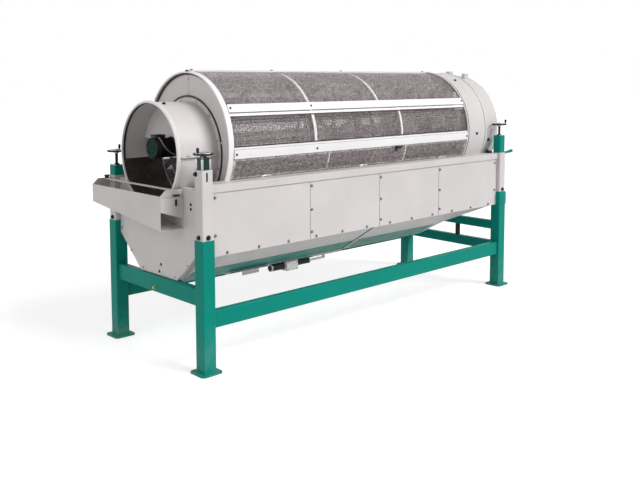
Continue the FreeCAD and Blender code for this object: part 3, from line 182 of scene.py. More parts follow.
def apply_place(piece):
    only(piece)
    bpy.ops.object.transform_apply(location=True, rotation=True, scale=True)
    return piece


def pick_faces(piece, test):
    """Select the faces that pass the test, in edit mode."""
    bpy.ops.mesh.select_mode(type="FACE")
    bpy.ops.mesh.select_all(action="DESELECT")
    shape = bmesh.from_edit_mesh(piece.data)
    for face in shape.faces:
        face.select_set(test(face))
    bmesh.update_edit_mesh(piece.data)


def across_to(direction):
    """A test for the faces that look one way or the opposite way."""
    return lambda face: abs(face.normal.dot(direction)) > 0.9


def outward(piece):
    """Merge the doubles and turn all faces outwards."""
    edit(piece)
    bpy.ops.mesh.remove_doubles(threshold=0.00002)
    bpy.ops.mesh.normals_make_consistent(inside=False)
    object_mode()
    return piece


def drawn(name, points):
    """A line of edges drawn from point to point."""
    clear_selection()
    bpy.ops.mesh.primitive_plane_add(size=0.01, location=points[0])
    piece = named(name)
    bpy.ops.object.mode_set(mode="EDIT")
    bpy.ops.mesh.select_mode(type="VERT")
    bpy.ops.mesh.select_all(action="SELECT")
    bpy.ops.mesh.merge(type="CENTER")
    for start, end in zip(points, points[1:]):
        step = Vector(end) - Vector(start)
        bpy.ops.mesh.extrude_vertices_move(TRANSFORM_OT_translate={"value": step})
    object_mode()
    return apply_place(piece)


def turned(name, outline, at, axis, steps):
    """An outline drawn as (along the axis, radius) and spun about the axis through `at`."""
    side = Z if abs(axis.dot(Z)) < 0.5 else X
    at = Vector(at)
    piece = drawn(name, [at + axis * along + side * radius for along, radius in outline])
    edit(piece)
    bpy.ops.mesh.spin(steps=steps, angle=radians(360), center=at, axis=axis)
    return outward(piece)


def rolled(name, outline, low=0, high=360, centre=DRUM_Z):
    """A closed outline of (x, radius) rolled about a line along X between two angles, and capped."""
    piece = drawn(name, [round_point(radius, low, x, centre) for x, radius in outline])
    edit(piece)
    bpy.ops.mesh.edge_face_add()
    steps = max(2, round((high - low) * sizes().rolled_steps / 360))
    bpy.ops.mesh.spin(steps=steps, angle=radians(high - low), center=(0, 0, centre), axis=X)
    return outward(piece)


def box_outline(start, end, inner, outer):
    """A closed outline of a ring with a rectangular section."""
    return [(start, inner), (start, outer), (end, outer), (end, inner), (start, inner)]


def roll_outline(middle, wide, base, high):
    """Points of a rolled edge: half an ellipse that stands on a radius."""
    return [(middle + wide * cos(radians(turn)), base + high * sin(radians(turn)))
            for turn in range(0, 181, 30)]


def rim_outline(middle, wide, base, high, deep):
    """A closed outline of a rolled edge on a band that goes down below its base."""
    start, end = (middle + wide, base - deep), (middle - wide, base - deep)
    return [start] + roll_outline(middle, wide, base, high) + [end, start]


def plate(name, low, high, edge=0.0, at=ORIGIN):
    """A block between two corners, measured from a point, its edges eased by `edge`."""
    clear_selection()
    low, high = at + Vector(low), at + Vector(high)
    bpy.ops.mesh.primitive_cube_add(size=1, location=(low + high) / 2)
    piece = named(name)
    piece.scale = high - low
    apply_place(piece)
    if edge:
        edit(piece)
        bpy.ops.mesh.bevel(offset=edge, segments=2, affect="EDGES")
        object_mode()
    return piece


def block(name, at, half, low, high, edge=0.0):
    """A square block about an upright line, between two heights."""
    return plate(name, (-half, -half, low), (half, half, high), edge, at)


def rod(name, start, end, radius, sides=16, edge=0.0, at=ORIGIN):
    """A round bar between two points, measured from a third, its ends eased by `edge`."""
    clear_selection()
    start, end = at + Vector(start), at + Vector(end)
    run = end - start
    bpy.ops.mesh.primitive_cylinder_add(vertices=sides, radius=radius, depth=run.length,
                                        location=(start + end) / 2,
                                        rotation=run.to_track_quat("Z", "Y").to_euler())
    piece = apply_place(named(name))
    if edge:
        edit(piece)
        pick_faces(piece, across_to(run.normalized()))
        bpy.ops.mesh.bevel(offset=edge, segments=2, affect="EDGES")
        object_mode()
    return piece


def tube(name, points, radius):
    """A round tube along a line of points."""
    only(drawn(name, points))
    bpy.ops.object.convert(target="CURVE")
    line = bpy.context.object.data
    line.bevel_depth = radius
    line.bevel_resolution = 3
    line.use_fill_caps = True
    bpy.ops.object.convert(target="MESH")
    return outward(named(name))


def place(at, towards=Z):
    """A copy's place: its own Z turned towards a direction."""
    return Matrix.Translation(Vector(at)) @ towards.to_track_quat("Z", "Y").to_matrix().to_4x4()


def round_places(radius, angles, x, towards=None, centre=DRUM_Z):
    """Places at angles on a circle, all turned one way or, where none is given, outwards."""
    return [place(round_point(radius, angle, x, centre), round_normal(angle) if towards is None else towards)
            for angle in angles]


def joined(name, parts):
    """Several parts as one piece."""
    clear_selection()
    for part in parts:
        part.select_set(True)
    bpy.context.view_layer.objects.active = parts[0]
    if len(parts) > 1:
        bpy.ops.object.join()
    return apply_place(named(name))


def copied(name, master, places):
    """The master copied to each place, joined in one piece; the master itself goes."""
    copies = []
    for where in places:
        copy = master.copy()
        copy.data = master.data.copy()
        copy.matrix_world = where
        bpy.context.collection.objects.link(copy)
        copies.append(copy)
    bpy.data.objects.remove(master)
    return joined(name, copies)


def hand_over(piece, finish, body="machine", smooth=40, instead_of=()):
    """Give a piece its shading, its finish, the body that it rides on, and hide the solids that it replaces.
    """
    only(piece)
    if smooth:
        bpy.ops.object.shade_smooth_by_angle(angle=radians(smooth))
    piece.data.materials.clear()
    piece.data.materials.append(finish())
    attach(piece, body)
    if instead_of:
        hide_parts(*instead_of)
    return piece


# Finishes

class Graph:
    """The node tree of a material or a world, built from left to right."""

    def __init__(self, owner):
        owner.use_nodes = True
        self.tree = owner.node_tree

    def add(self, kind, inputs=None, **settings):
        node = self.tree.nodes.new(kind)
        for key, setting in settings.items():
            setattr(node, key, setting)
        for key, given in (inputs or {}).items():
            self.feed(node.inputs[key], given)
        return node

    def feed(self, socket, given):
        """Link a socket to another node's, or set a value on it."""
        if isinstance(given, bpy.types.NodeSocket):
            self.tree.links.new(given, socket)
        else:
            socket.default_value = given

    def band(self, source, low, high, to_low=0.0, to_high=1.0):
        return self.add("ShaderNodeMapRange", {"Value": source, "From Min": low, "From Max": high,
                                               "To Min": to_low, "To Max": to_high}).outputs["Result"]

    def times(self, first, second):
        return self.add("ShaderNodeMath", {0: first, 1: second}, operation="MULTIPLY").outputs[0]

    def mixed(self, amount, first, second):
        return self.add("ShaderNodeMix", {0: amount, 6: first, 7: second}, data_type="RGBA").outputs[2]


class Surface(Graph):
    """The nodes of one material round its shader, on Object coordinates."""

    def __init__(self, name):
        self.material = bpy.data.materials.new(name)
        super().__init__(self.material)
        self.shader = self.tree.nodes["Principled BSDF"]
        self.coordinates = self.add("ShaderNodeTexCoord").outputs["Object"]

    def noise(self, scale, detail=4, stretch=(1, 1, 1)):
        spread = self.add("ShaderNodeMapping", {"Vector": self.coordinates, "Scale": stretch})
        return self.add("ShaderNodeTexNoise", {"Vector": spread.outputs[0], "Scale": scale, "Detail": detail,
                                               "Roughness": 0.6}).outputs["Fac"]

    def worn_edge(self, width):
        """1 along the edges of a shape, 0 on its faces."""
        eased = self.add("ShaderNodeBevel", {"Radius": width}, samples=4).outputs[0]
        straight = self.add("ShaderNodeNewGeometry").outputs["Normal"]
        match = self.add("ShaderNodeVectorMath", {0: eased, 1: straight}, operation="DOT_PRODUCT")
        return self.band(match.outputs["Value"], 0.995, 0.9)

    def shade(self, name, given):
        """Feed one of the shader's own sockets."""
        self.feed(self.shader.inputs[name], given)

    def bumpy(self, height, strength, distance):
        bump = self.add("ShaderNodeBump", {"Height": height, "Strength": strength, "Distance": distance})
        self.shade("Normal", bump.outputs[0])

    def colour(self, source):
        self.shade("Base Color", source)

    def rough(self, source, low, high):
        self.shade("Roughness", self.band(source, 0.3, 0.7, low, high))


def rgba(colour, dim=1.0):
    return tuple(channel * dim for channel in colour) + (1,)


def once(slot=None):
    """Build a finish the first time it is asked for, and keep the slot that it belongs to."""
    def keep(make):
        def finish():
            return bpy.data.materials.get(make.__name__) or make(make.__name__)
        finish.slot = slot
        return finish
    return keep


def enamel(name, colour, wear, wear_colour, dust=0.0, rough=(0.3, 0.46), gloss=0.28):
    """Sprayed paint: soft cloudiness, orange peel, worn edges and dust low down."""
    graph = Surface(name)
    clouds = graph.noise(2.2, 5)
    tint = graph.mixed(graph.band(clouds, 0.3, 0.7), rgba(colour, 0.94), rgba(colour, 1.04))
    if dust:
        height = graph.add("ShaderNodeSeparateXYZ", {0: graph.coordinates}).outputs[2]
        low_down = graph.times(graph.band(height, 0.35, 0.0), graph.band(graph.noise(9), 0.35, 0.75))
        tint = graph.mixed(graph.times(low_down, dust), tint, (0.4, 0.36, 0.3, 1))
    if wear:
        spots = graph.band(graph.noise(60, 6), 0.5, 0.62)
        tint = graph.mixed(graph.times(graph.times(graph.worn_edge(0.004), spots), wear), tint, wear_colour)
    graph.colour(tint)
    graph.rough(graph.noise(14), *rough)
    graph.bumpy(graph.noise(320, 2), 0.12, 0.0006)
    graph.shade("Specular IOR Level", gloss)
    return graph.material


@once("green_paint")
def green_enamel(name):
    return enamel(name, colours().green, 0.7, (0.16, 0.15, 0.14, 1), dust=0.2, gloss=0.08)


# Painted shade: the frame's green at 0.12 of its brightness, for the near front nut block, which stands in
# shade.
@once("green_paint")
def green_painted_shade(name):
    return enamel(name, [channel * 0.12 for channel in colours().green], 0.7, (0.16, 0.15, 0.14, 1))


@once("grey_paint")
def grey_enamel(name):
    return enamel(name, colours().grey, 0.3, (0.4, 0.38, 0.37, 1))


@once("white_paint")
def white_enamel(name):
    return enamel(name, colours().white, 0.25, (0.45, 0.44, 0.43, 1))


@once("motor_paint")
def motor_enamel(name):
    return enamel(name, colours().motor, 0.5, (0.12, 0.12, 0.11, 1), rough=(0.34, 0.5), gloss=0.05)


@once("black_steel")
def black_fitting(name):
    graph = Surface(name)
    scuffs = graph.band(graph.noise(25), 0.35, 0.7)
    graph.colour(graph.mixed(scuffs, rgba(colours().black), rgba(colours().black, 2.2)))
    graph.rough(graph.noise(40), 0.38, 0.58)
    graph.shade("Specular IOR Level", 0.25)
    graph.bumpy(graph.noise(500, 2), 0.1, 0.0004)
    return graph.material


@once()
def cable_grey(name):
    graph = Surface(name)
    clouds = graph.band(graph.noise(30), 0.35, 0.65)
    graph.colour(graph.mixed(clouds, rgba(colours().cable, 0.8), rgba(colours().cable)))
    graph.rough(graph.noise(60), 0.45, 0.6)
    graph.bumpy(graph.noise(400, 2), 0.1, 0.0003)
    return graph.material


# Painted shade: a scuffed near-black for the strips and rings that stand where the casing has shadow lines
# and shaded hollows.
@once()
def painted_shade_black(name):
    graph = Surface(name)
    scuffs = graph.band(graph.noise(16, 6), 0.5, 0.72)
    graph.colour(graph.mixed(scuffs, rgba(colours().painted_shade_black), rgba(colours().painted_shade_black, 4)))
    graph.rough(graph.noise(30), 0.45, 0.7)
    graph.bumpy(graph.noise(260, 3), 0.2, 0.0006)
    return graph.material


def steel(name, colour, streak, low, high, bump):
    """Bare or plated steel with marks drawn along one direction."""
    graph = Surface(name)
    marks = graph.noise(120, 3, streak)
    patches = graph.noise(7, 4)
    tone = graph.mixed(graph.band(marks, 0.3, 0.7), rgba(colour, 0.85), rgba(colour, 1.1))
    graph.colour(graph.mixed(graph.band(patches, 0.45, 0.75, 0.0, 0.3), tone, rgba(colour, 0.6)))
    graph.rough(patches, low, high)
    graph.bumpy(marks, bump, 0.0003)
    graph.shade("Metallic", 0.85)
    return graph.material


@once("bright_steel")
def zinc_plate(name):
    return steel(name, colours().zinc, (1, 1, 1), 0.28, 0.42, 0.08)


@once("bright_steel")
def dull_zinc(name):
    return steel(name, colours().dull, (1, 1, 1), 0.45, 0.6, 0.08)


@once()
def brass_plate(name):
    return steel(name, colours().brass, (1, 1, 1), 0.28, 0.42, 0.08)


@once("dark_steel")
def drum_steel(name):
    return steel(name, colours().drum, (0.15, 1, 1), 0.45, 0.62, 0.15)


@once("mesh_steel")
def mesh_wire(name):
    graph = Surface(name)
    clouds = graph.band(graph.noise(5), 0.3, 0.7)
    clean = graph.mixed(clouds, rgba(colours().wire, 0.85), rgba(colours().wire, 1.15))
    stains = graph.band(graph.noise(60, 3), 0.43, 0.57, 0.0, 0.75)
    graph.colour(graph.mixed(stains, clean, rgba(colours().drum, 0.9)))
    graph.rough(graph.noise(90), 0.4, 0.6)
    graph.bumpy(graph.noise(700, 2), 0.1, 0.0002)
    graph.shade("Metallic", 0.35)
    return graph.material


@once()
def pale_floor(name):
    graph = Surface(name)
    clouds = graph.band(graph.noise(0.7), 0.3, 0.7)
    graph.colour(graph.mixed(clouds, rgba(colours().floor, 0.99), rgba(colours().floor)))
    graph.rough(graph.noise(3), 0.6, 0.75)
    graph.shade("Emission Color", (1, 1, 1, 1))
    plain = graph.add("ShaderNodeEmission", {"Color": (1, 1, 1, 1), "Strength": 1.0})
    rays = graph.add("ShaderNodeLightPath").outputs
    graph.shade("Emission Strength", graph.band(rays["Is Camera Ray"], 0, 1, 0.08, 0.64))
    seen = graph.add("ShaderNodeMath", {0: rays["Is Glossy Ray"], 1: rays["Is Transmission Ray"]},
                     operation="ADD")
    blend = graph.add("ShaderNodeMixShader", {0: seen.outputs[0], 1: graph.shader.outputs[0],
                                              2: plain.outputs[0]})
    graph.feed(graph.tree.nodes["Material Output"].inputs[0], blend.outputs[0])
    return graph.material


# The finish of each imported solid, by how its node's name starts.
NODE_FINISHES = {
    green_enamel: ("leg_", "cross_beam_", "side_rail_", "jack_block_"),
    grey_enamel: ("corner_post_", "side_panels_", "top_rail_", "panel_joint_bars", "hopper_", "front_cover",
                  "end_plate_", "collar_", "discharge_tray", "tray_flap", "rear_hood", "feed_housing"),
    # front_rim takes the white enamel as a painted highlight: its rolled front lip is lit bright on the near
    # side.
    white_enamel: ("guard_frame", "front_rim", "motor_beam"),
    motor_enamel: ("gearbox", "drive_motor"),
    black_fitting: ("rear_bearing_bracket", "gate_actuator", "handwheel_"),
    zinc_plate: ("drum_shaft", "gate_front", "gate_rear", "actuator_rod"),
    drum_steel: ("drum_rings", "drum_bars", "drum_spiders"),
    mesh_wire: ("guard_mesh_", "access_door", "drum_outer", "drum_inner"),
}


class SEEDCLEANER_OT_finishes(bpy.types.Operator):
    """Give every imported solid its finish"""
    bl_idname = "seedcleaner.finishes"
    bl_label = "Finishes of the solids"

    def execute(self, context):
        for name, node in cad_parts.items():
            finish = next(finish for finish, starts in NODE_FINISHES.items() if name.startswith(starts))
            for slot in node.material_slots:
                slot.material = finish()
        return {"FINISHED"}


def woven(name, radius, low, high, start, end, pitch, wire, step=6):
    """A rolled row of wire mesh: hoops along X crossed by straight wires."""
    span = high - low
    clear_selection()
    bpy.ops.mesh.primitive_circle_add(vertices=4, radius=wire / 2, location=round_point(radius, low, start),
                                      rotation=(radians(-low), 0, 0))
    hoop = apply_place(named(name + "_hoop"))
    edit(hoop)
    centre = (start, 0, DRUM_Z)
    bpy.ops.mesh.spin(steps=max(2, round(span / step)), angle=radians(span), center=centre, axis=X)
    outward(hoop)
    count = int((end - start) / pitch)
    only(hoop)
    row = hoop.modifiers.new("row", "ARRAY")
    row.count = count + 1
    row.use_relative_offset = False
    row.use_constant_offset = True
    row.constant_offset_displace = ((end - start) / count, 0, 0)
    bpy.ops.object.modifier_apply(modifier=row.name)

    inner = radius - wire * 0.8
    long_wire = rod(name + "_long", round_point(inner, low, start), round_point(inner, low, end), wire / 2,
                    sides=4)
    edit(long_wire)
    bpy.ops.mesh.spin(steps=max(2, round(radians(span) * radius / pitch)), dupli=True,
                      angle=radians(span), center=centre, axis=X)
    object_mode()
    return joined(name, [hoop, long_wire])


class SEEDCLEANER_OT_guard_mesh(bpy.types.Operator):
    """Model the woven rows of the guard and the mesh of the access door"""
    bl_idname = "seedcleaner.guard_mesh"
    bl_label = "Guard mesh"

    def execute(self, context):
        pitch, wire = sizes().guard_pitch, sizes().guard_wire
        rows = (("guard_mesh_top", 30.2, 149.8, 0.85, "machine", "guard_mesh_top"),
                ("guard_mesh_near", -5.4, 29.8, 1.4, "machine", "guard_mesh_near"),
                ("guard_mesh_far", 150.2, 206.0, 1.15, "machine", "guard_mesh_far"),
                ("door_mesh", -25.6, -10.0, 0.5, "access_door", "access_door"))
        for name, low, high, spread, body, node in rows:
            row = woven(name + "_wires", GUARD - 0.0014, low, high, GUARD_START + 0.008, GUARD_END - 0.008,
                        pitch * spread, wire)
            hand_over(row, mesh_wire, body, smooth=50, instead_of=[node])
        return {"FINISHED"}


class SEEDCLEANER_OT_drum_screens(bpy.types.Operator):
    """Model the outer and the inner screen of the drum"""
    bl_idname = "seedcleaner.drum_screens"
    bl_label = "Drum screens"

    def execute(self, context):
        for name, radius, end, pitch, step in (("outer_screen", 0.4885, 1.528, sizes().screen_pitch, 5),
                                               ("inner_screen", 0.3285, 1.178, sizes().inner_pitch, 7.5)):
            screen = woven(name + "_wires", radius, 0, 360, -1.418, end, pitch, sizes().screen_wire, step)
            hand_over(screen, mesh_wire, "drum", smooth=50, instead_of=["drum_" + name])
        return {"FINISHED"}


def hex_bolt(name, across, high):
    """A bolt head on its washer, pointing along Z."""
    washer = high * 0.25
    clear_selection()
    bpy.ops.mesh.primitive_cylinder_add(vertices=6, radius=across * 0.577, depth=high,
                                        location=(0, 0, washer + high / 2))
    head = apply_place(named(name + "_head"))
    edit(head)
    pick_faces(head, lambda face: face.normal.z > 0.9)
    bpy.ops.mesh.inset(thickness=across * 0.09)
    bpy.ops.transform.translate(value=(0, 0, high * 0.12))
    object_mode()
    disc = rod(name + "_washer", (0, 0, 0), (0, 0, washer), across * 0.85)
    return joined(name, [head, disc])


def bolts(name, places, scale=1.0, finish=zinc_plate, high=None, across=None):
    """Hexagon bolts at places, all on the machine: casing bolts to a scale, or of a width of their own."""
    across = across or sizes().bolt_across * scale
    master = hex_bolt(name + "_one", across, high or across * 0.55)
    return hand_over(copied(name, master, places), finish, smooth=30)


def frame_of_beads(name, centre, wide, high, across, up):
    """Four weld beads round a rectangle that lies across two directions."""
    radius = sizes().weld / 2
    corners = [Vector(centre) + across * (wide / 2 * over) + up * (high / 2 * rise)
               for over, rise in ((-1, -1), (1, -1), (1, 1), (-1, 1))]
    return [rod(name, start, end, radius, sides=8, edge=radius / 2)
            for start, end in zip(corners, corners[1:] + corners[:1])]


class SEEDCLEANER_OT_frame_welds(bpy.types.Operator):
    """Model the welds of the frame and the sleeves of the rear legs"""
    bl_idname = "seedcleaner.frame_welds"
    bl_label = "Frame welds"

    def execute(self, context):
        inner_x, inner_y = FOOT_X - LEG / 2, FOOT_Y - LEG / 2
        plate_top, rail_z, deep = 0.012, 0.365, 0.12
        beads = []
        for end, side in CORNERS:
            beads += frame_of_beads("foot_weld", on_leg(end, side, plate_top), LEG, LEG, X, Y)
            beads += frame_of_beads("rail_weld", (end * inner_x, side * FOOT_Y, rail_z), BEAM, deep, Y, Z)
        for x, z, high in ((-FOOT_X, 0.515, 0.12), (FOOT_X, 0.380, 0.09), (FOOT_X, 0.580, 0.08)):
            for side in SIDES:
                beads += frame_of_beads("beam_weld", (x, side * inner_y, z), BEAM, high, X, Z)
        hand_over(joined("frame_welds", beads), green_enamel, smooth=60)

        sleeves = [block("leg_sleeve", on_leg(1, side), LEG / 2 + 0.0035, 0.790, 0.905, 0.002)
                   for side in SIDES]
        for sleeve in sleeves:
            edit(sleeve)
            pick_faces(sleeve, across_to(Z))
            bpy.ops.mesh.delete(type="FACE")
            object_mode()
        hand_over(joined("leg_sleeves", sleeves), green_enamel)

        plug = rod("plug_weld", (0, 0, -0.002), (0, 0, 0.002), 0.011, sides=20, edge=0.0015)
        spots = [place(on_leg(end, side, z) + Y * (side * LEG / 2), Y * side)
                 for end, side in CORNERS for z in (0.790, 0.870)]
        hand_over(copied("plug_welds", plug, spots), green_enamel)
        return {"FINISHED"}


def slope_strip(name, side, high, low, start, end, thick):
    """A strip on a sloping side of the hopper, between two distances from the middle."""
    top, foot = (Vector((start, side * out, SLOPE_FOOT_Z + (out - SLOPE_FOOT_Y) * SLOPE_RISE))
                 for out in (high, low))
    lift = Vector((0, side * SLOPE_RISE, -1)).normalized() * thick
    strip = drawn(name, [top, foot, foot + lift, top + lift, top])
    edit(strip)
    bpy.ops.mesh.edge_face_add()
    bpy.ops.mesh.extrude_region_move(TRANSFORM_OT_translate={"value": X * (end - start)})
    return outward(strip)


class SEEDCLEANER_OT_casing_trim(bpy.types.Operator):
    """Model the bolts and seams of the side panels, and the joints, the painted reflections of the near rail
    and the painted joint shadows on the hopper's slopes
    """
    bl_idname = "seedcleaner.casing_trim"
    bl_label = "Casing trim"

    def execute(self, context):
        spots = [(x + 0.016, z) for x in BAY_JOINTS for z in (0.845, 1.015, 1.195)]
        spots += [(x, z) for x in (-1.628, 1.628) for z in (0.935, 1.195)]
        spots += [(-1.53 + step * 0.278, 0.807) for step in range(12)]
        places = [place((x, side * PANEL_Y, z), Y * side) for side in SIDES for x, z in spots]
        bolts("panel_bolts", places, 0.8, dull_zinc)

        foot, top = 0.793, 1.229
        seams = [plate("panel_seam", (-0.001, -0.0008, foot), (0.001, 0.0008, top),
                       at=Vector((x, side * (PANEL_Y + 0.0005), 0))) for x in BAY_JOINTS for side in SIDES]
        hand_over(joined("panel_seams", seams), black_fitting, smooth=None)

        for name, high, low, start, end, thick, finish in (
                # Painted reflection: a green band on the lower part of each slope, standing for the near rail
                # mirrored in the sheet.
                ("slope_rail_reflections", 0.360, 0.206, -1.655, 0.990, 0.0015, green_enamel),
                ("slope_joints", 0.565, 0.212, -0.045, -0.015, 0.004, grey_enamel),
                # Painted shadow: a black strip beside each joint strip, for the shadow that it casts.
                ("slope_joint_shadows", 0.565, 0.212, -0.057, -0.046, 0.003, black_fitting)):
            strips = [slope_strip(name + "_strip", side, high, low, start, end, thick) for side in SIDES]
            hand_over(joined(name, strips), finish, smooth=None)

        clamps = []
        for end, side in CORNERS:
            at = on_leg(end, side, 0.937)
            clamps += [place(at + Y * (side * POST / 2), Y * side), place(at + X * (end * POST / 2), X * end)]
        clamps.append(place((-FOOT_X - POST / 2, -0.548, 1.362), -X))
        bolts("post_clamps", clamps, 1.2, black_fitting)
        return {"FINISHED"}


class SEEDCLEANER_OT_guard_frame(bpy.types.Operator):
    """Model the frames, the dark strips of painted shadow and the bolts of the guard's rows, and the fittings
    of the access door
    """
    bl_idname = "seedcleaner.guard_frame"
    bl_label = "Guard frame"

    def execute(self, context):
        line = box_outline(GUARD_START, GUARD_END, GUARD_SKIN, GUARD_SKIN + 0.002)
        strips = [rolled("row_strip", line, low, high)
                  for low, high in ((23.8, 26.0), (154.0, 156.2), (-1.9, -0.4), (180.4, 181.9))]
        hand_over(joined("row_frames", strips), white_enamel, smooth=30)

        # Painted shadow: near-black strips along the rows' edges and at the rear end of the mesh, where the
        # rails and the hood cast shadow lines.
        start, end, under = GUARD_START + 0.001, GUARD_END - 0.001, GUARD_SKIN - 0.0002
        shadow_strips = [rolled("row_shadow_strip", box_outline(start, end, under, under + 0.0009), low, low + 1)
                 for low in (22.7, 33.3, 145.7, 156.3, -0.3, 179.3)]
        shadow_strips.append(rolled("row_end_shadow_strip", box_outline(end - 0.008, end, under, under + 0.0017), -4, 184))
        hand_over(joined("row_seals", shadow_strips), painted_shade_black, smooth=30)

        first, last = GUARD_START + 0.016, GUARD_END - 0.016
        places = [spot for x in (first, -0.640, last)
                  for spot in round_places(RAIL, (-5.5, 30, 150, 185.5), x)]
        bolts("rail_bolts", places, 0.6, black_fitting)
        places = [place((x, 0, DRUM_Z + RAIL - 0.0001)) for x in (first, -0.640, 0.140, last)]
        bolts("ridge_bolts", places, 1.0, black_fitting, high=0.0044)

        inner, foot, top = GUARD_SKIN - 0.0025, -25.8, -9.5
        border = [rolled("door_strip", box_outline(start, end, inner, GUARD_SKIN), low, high)
                  for low, high in ((foot, foot + 1.2), (top - 1.4, top))]
        border += [rolled("door_stile", box_outline(x, x + 0.018, inner, GUARD_SKIN), foot, top)
                   for x in (start, -0.5, 0.4, end - 0.018)]
        hand_over(joined("door_frame", border), mesh_wire, "access_door", smooth=30)

        hinge = Vector((0, -0.484188, 1.294))
        barrels = [rod("door_hinge", (x - 0.03, 0, 0), (x + 0.03, 0, 0), 0.0082, edge=0.001, at=hinge)
                   for x in (-1.1, -0.08, 0.94)]
        hand_over(joined("door_hinges", barrels), zinc_plate, "access_door")
        at = round_point(0.529, -11.2, 0.295)
        latch = [plate("latch_body", (-0.026, -0.024, -0.010), (0.026, 0.001, 0.012), 0.003, at),
                 rod("latch_grip", (-0.02, -0.018, -0.004), (-0.03, -0.021, -0.03), 0.006, edge=0.002, at=at),
                 rod("latch_tongue", (0.018, -0.02, 0), (0.05, -0.02, 0.012), 0.006, edge=0.002, at=at)]
        hand_over(joined("door_latch", latch), black_fitting, "access_door")
        return {"FINISHED"}


class SEEDCLEANER_OT_discharge_end(bpy.types.Operator):
    """Model the rolled lip, the dark rings and liner of painted shade, the seams and the bolts of the
    discharge end
    """
    bl_idname = "seedcleaner.discharge_end"
    bl_label = "Discharge end"

    def execute(self, context):
        foot, base, bore = 0.3655, 0.3705, 0.3658
        rolls = roll_outline(-1.7635, 0.0065, base, 0.0135) + roll_outline(-1.7755, 0.0052, base, 0.0125)
        lip = [(-1.7570, foot)] + rolls + [(-1.7808, foot), (-1.7570, foot)]
        hand_over(rolled("collar_lip", lip, centre=COLLAR_Z), white_enamel)

        # Painted shade: a near-black liner over the lower inside of the collar, and dark rings inside the
        # lip, round the flange and inside the rim's recess, where shade falls.
        shadow_strips = [rolled("collar_painted_shade", box_outline(-1.7520, -1.4455, 0.3625, bore), -171, -9, COLLAR_Z),
                 rolled("lip_shadow_ring", box_outline(-1.7695, -1.7535, 0.3620, bore), centre=COLLAR_Z),
                 rolled("flange_shadow_ring", box_outline(-1.4385, END_X, 0.3992, 0.4160), centre=COLLAR_Z),
                 rolled("rim_shadow_ring", box_outline(-1.4450, END_X, 0.5050, 0.5175), -25, 205)]
        hand_over(joined("end_shadow_strips", shadow_strips), painted_shade_black)

        seam_x, split_z = END_X - 0.0016, 1.544
        seams = [plate("end_seam", (seam_x, -0.010, 1.860), (END_X, 0.010, 2.034))]
        for side in SIDES:
            inner, flange, rim = (side * y for y in (0.3685, 0.392, 0.509))
            seams.append(plate("collar_joint", (-1.752, min(inner, flange), COLLAR_Z - 0.004),
                               (-1.442, max(inner, flange), COLLAR_Z + 0.004), 0.001))
            seams.append(plate("end_split", (seam_x, min(flange, rim), split_z - 0.008),
                               (END_X, max(flange, rim), split_z + 0.008)))
        hand_over(joined("front_seams", seams), grey_enamel, smooth=30)

        places = round_places(0.385, range(15, 360, 30), -1.439, -X, COLLAR_Z)
        places += [place((seam_x, side * y, split_z), -X) for side in SIDES for y in (0.41, 0.49)]
        places += [place((seam_x, 0, z), -X) for z in (1.89, 1.99)]
        places += [place((x, side * 0.386, COLLAR_Z + 0.004)) for side in SIDES for x in (-1.7, -1.6, -1.5)]
        bolts("collar_bolts", places, 0.75)
        places = [place(round_point(GUARD, 90, -1.445))]
        places += round_places(0.369, [76], -1.700, centre=COLLAR_Z)
        bolts("rim_bolts", places, 1.0, black_fitting, high=0.009)

        places = [place((COVER_X, side * y, z), -X) for side in SIDES
                  for y, z in ((0.505, 0.86), (0.505, 1.02), (0.505, 1.2), (0.37, 0.705), (0.21, 0.6))]
        bolts("cover_bolts", places, 0.8)
        places = [place((COVER_X, y, z), -X)
                  for y, z in ((-0.037, 0.661), (-0.015, 0.607), (-0.428, 1.140), (-0.428, 1.108))]
        bolts("cover_screws", places, 0.8, black_fitting, high=0.0026)
        return {"FINISHED"}


class SEEDCLEANER_OT_feed_end(bpy.types.Operator):
    """Model the rims, the dark strips of painted shadow, the clamps and the bolts of the feed end"""
    bl_idname = "seedcleaner.feed_end"
    bl_label = "Feed end"

    def execute(self, context):
        rims = [rolled("hood_rim", rim_outline(middle, 0.005, radius, 0.006, 0.002), *HOOD_ARC)
                for middle, radius in ((1.2655, 0.5355), (1.2855, 0.5355), (1.5530, 0.5275))]
        rims.append(rolled("housing_rim", rim_outline(1.7805, 0.0045, 0.4995, 0.005, 0.0015)))
        hand_over(joined("feed_end_rims", rims), white_enamel)
        # Painted shadow: dark strips between the mesh's end, the hood's rims and the feed housing, where the
        # edges cast shadow lines.
        shadow_strips = [rolled("hood_shadow_strip", box_outline(*span), *HOOD_ARC)
                 for span in ((1.2700, 1.2805, 0.5355, 0.5400), (1.2905, 1.2945, 0.5355, 0.5372),
                              (1.5435, 1.5480, 0.5275, 0.5290))]
        hand_over(joined("hood_seals", shadow_strips), painted_shade_black)

        clamps = [plate("clamp", (1.600, -0.540, 1.2845), (1.652, -0.490, 1.306), 0.004),
                  rod("clamp_grip", (1.626, -0.515, 1.300), (1.590, -0.515, 1.322), 0.0075, edge=0.002),
                  plate("switch", (1.640, -0.500, 1.398), (1.664, -0.478, 1.424), 0.003)]
        hand_over(joined("feed_clamps", clamps), black_fitting)

        places = round_places(GUARD, (-4, 60, 120, 184), 1.414)
        bolts("hood_bolts", places, 1.0, black_fitting, high=0.008)
        housing_x, spout_x = 1.785, 1.929
        places = round_places(0.475, range(15, 360, 30), housing_x, X)
        spots = [(y, z) for y in (-0.165, -0.055, 0.055, 0.165) for z in (1.645, 1.875)]
        spots += [(y, z) for y in (-0.165, 0.165) for z in (1.72, 1.80)]
        places += [place((spout_x, y, z), -X) for y, z in spots]
        bolts("feed_bolts", places, 0.85)
        return {"FINISHED"}


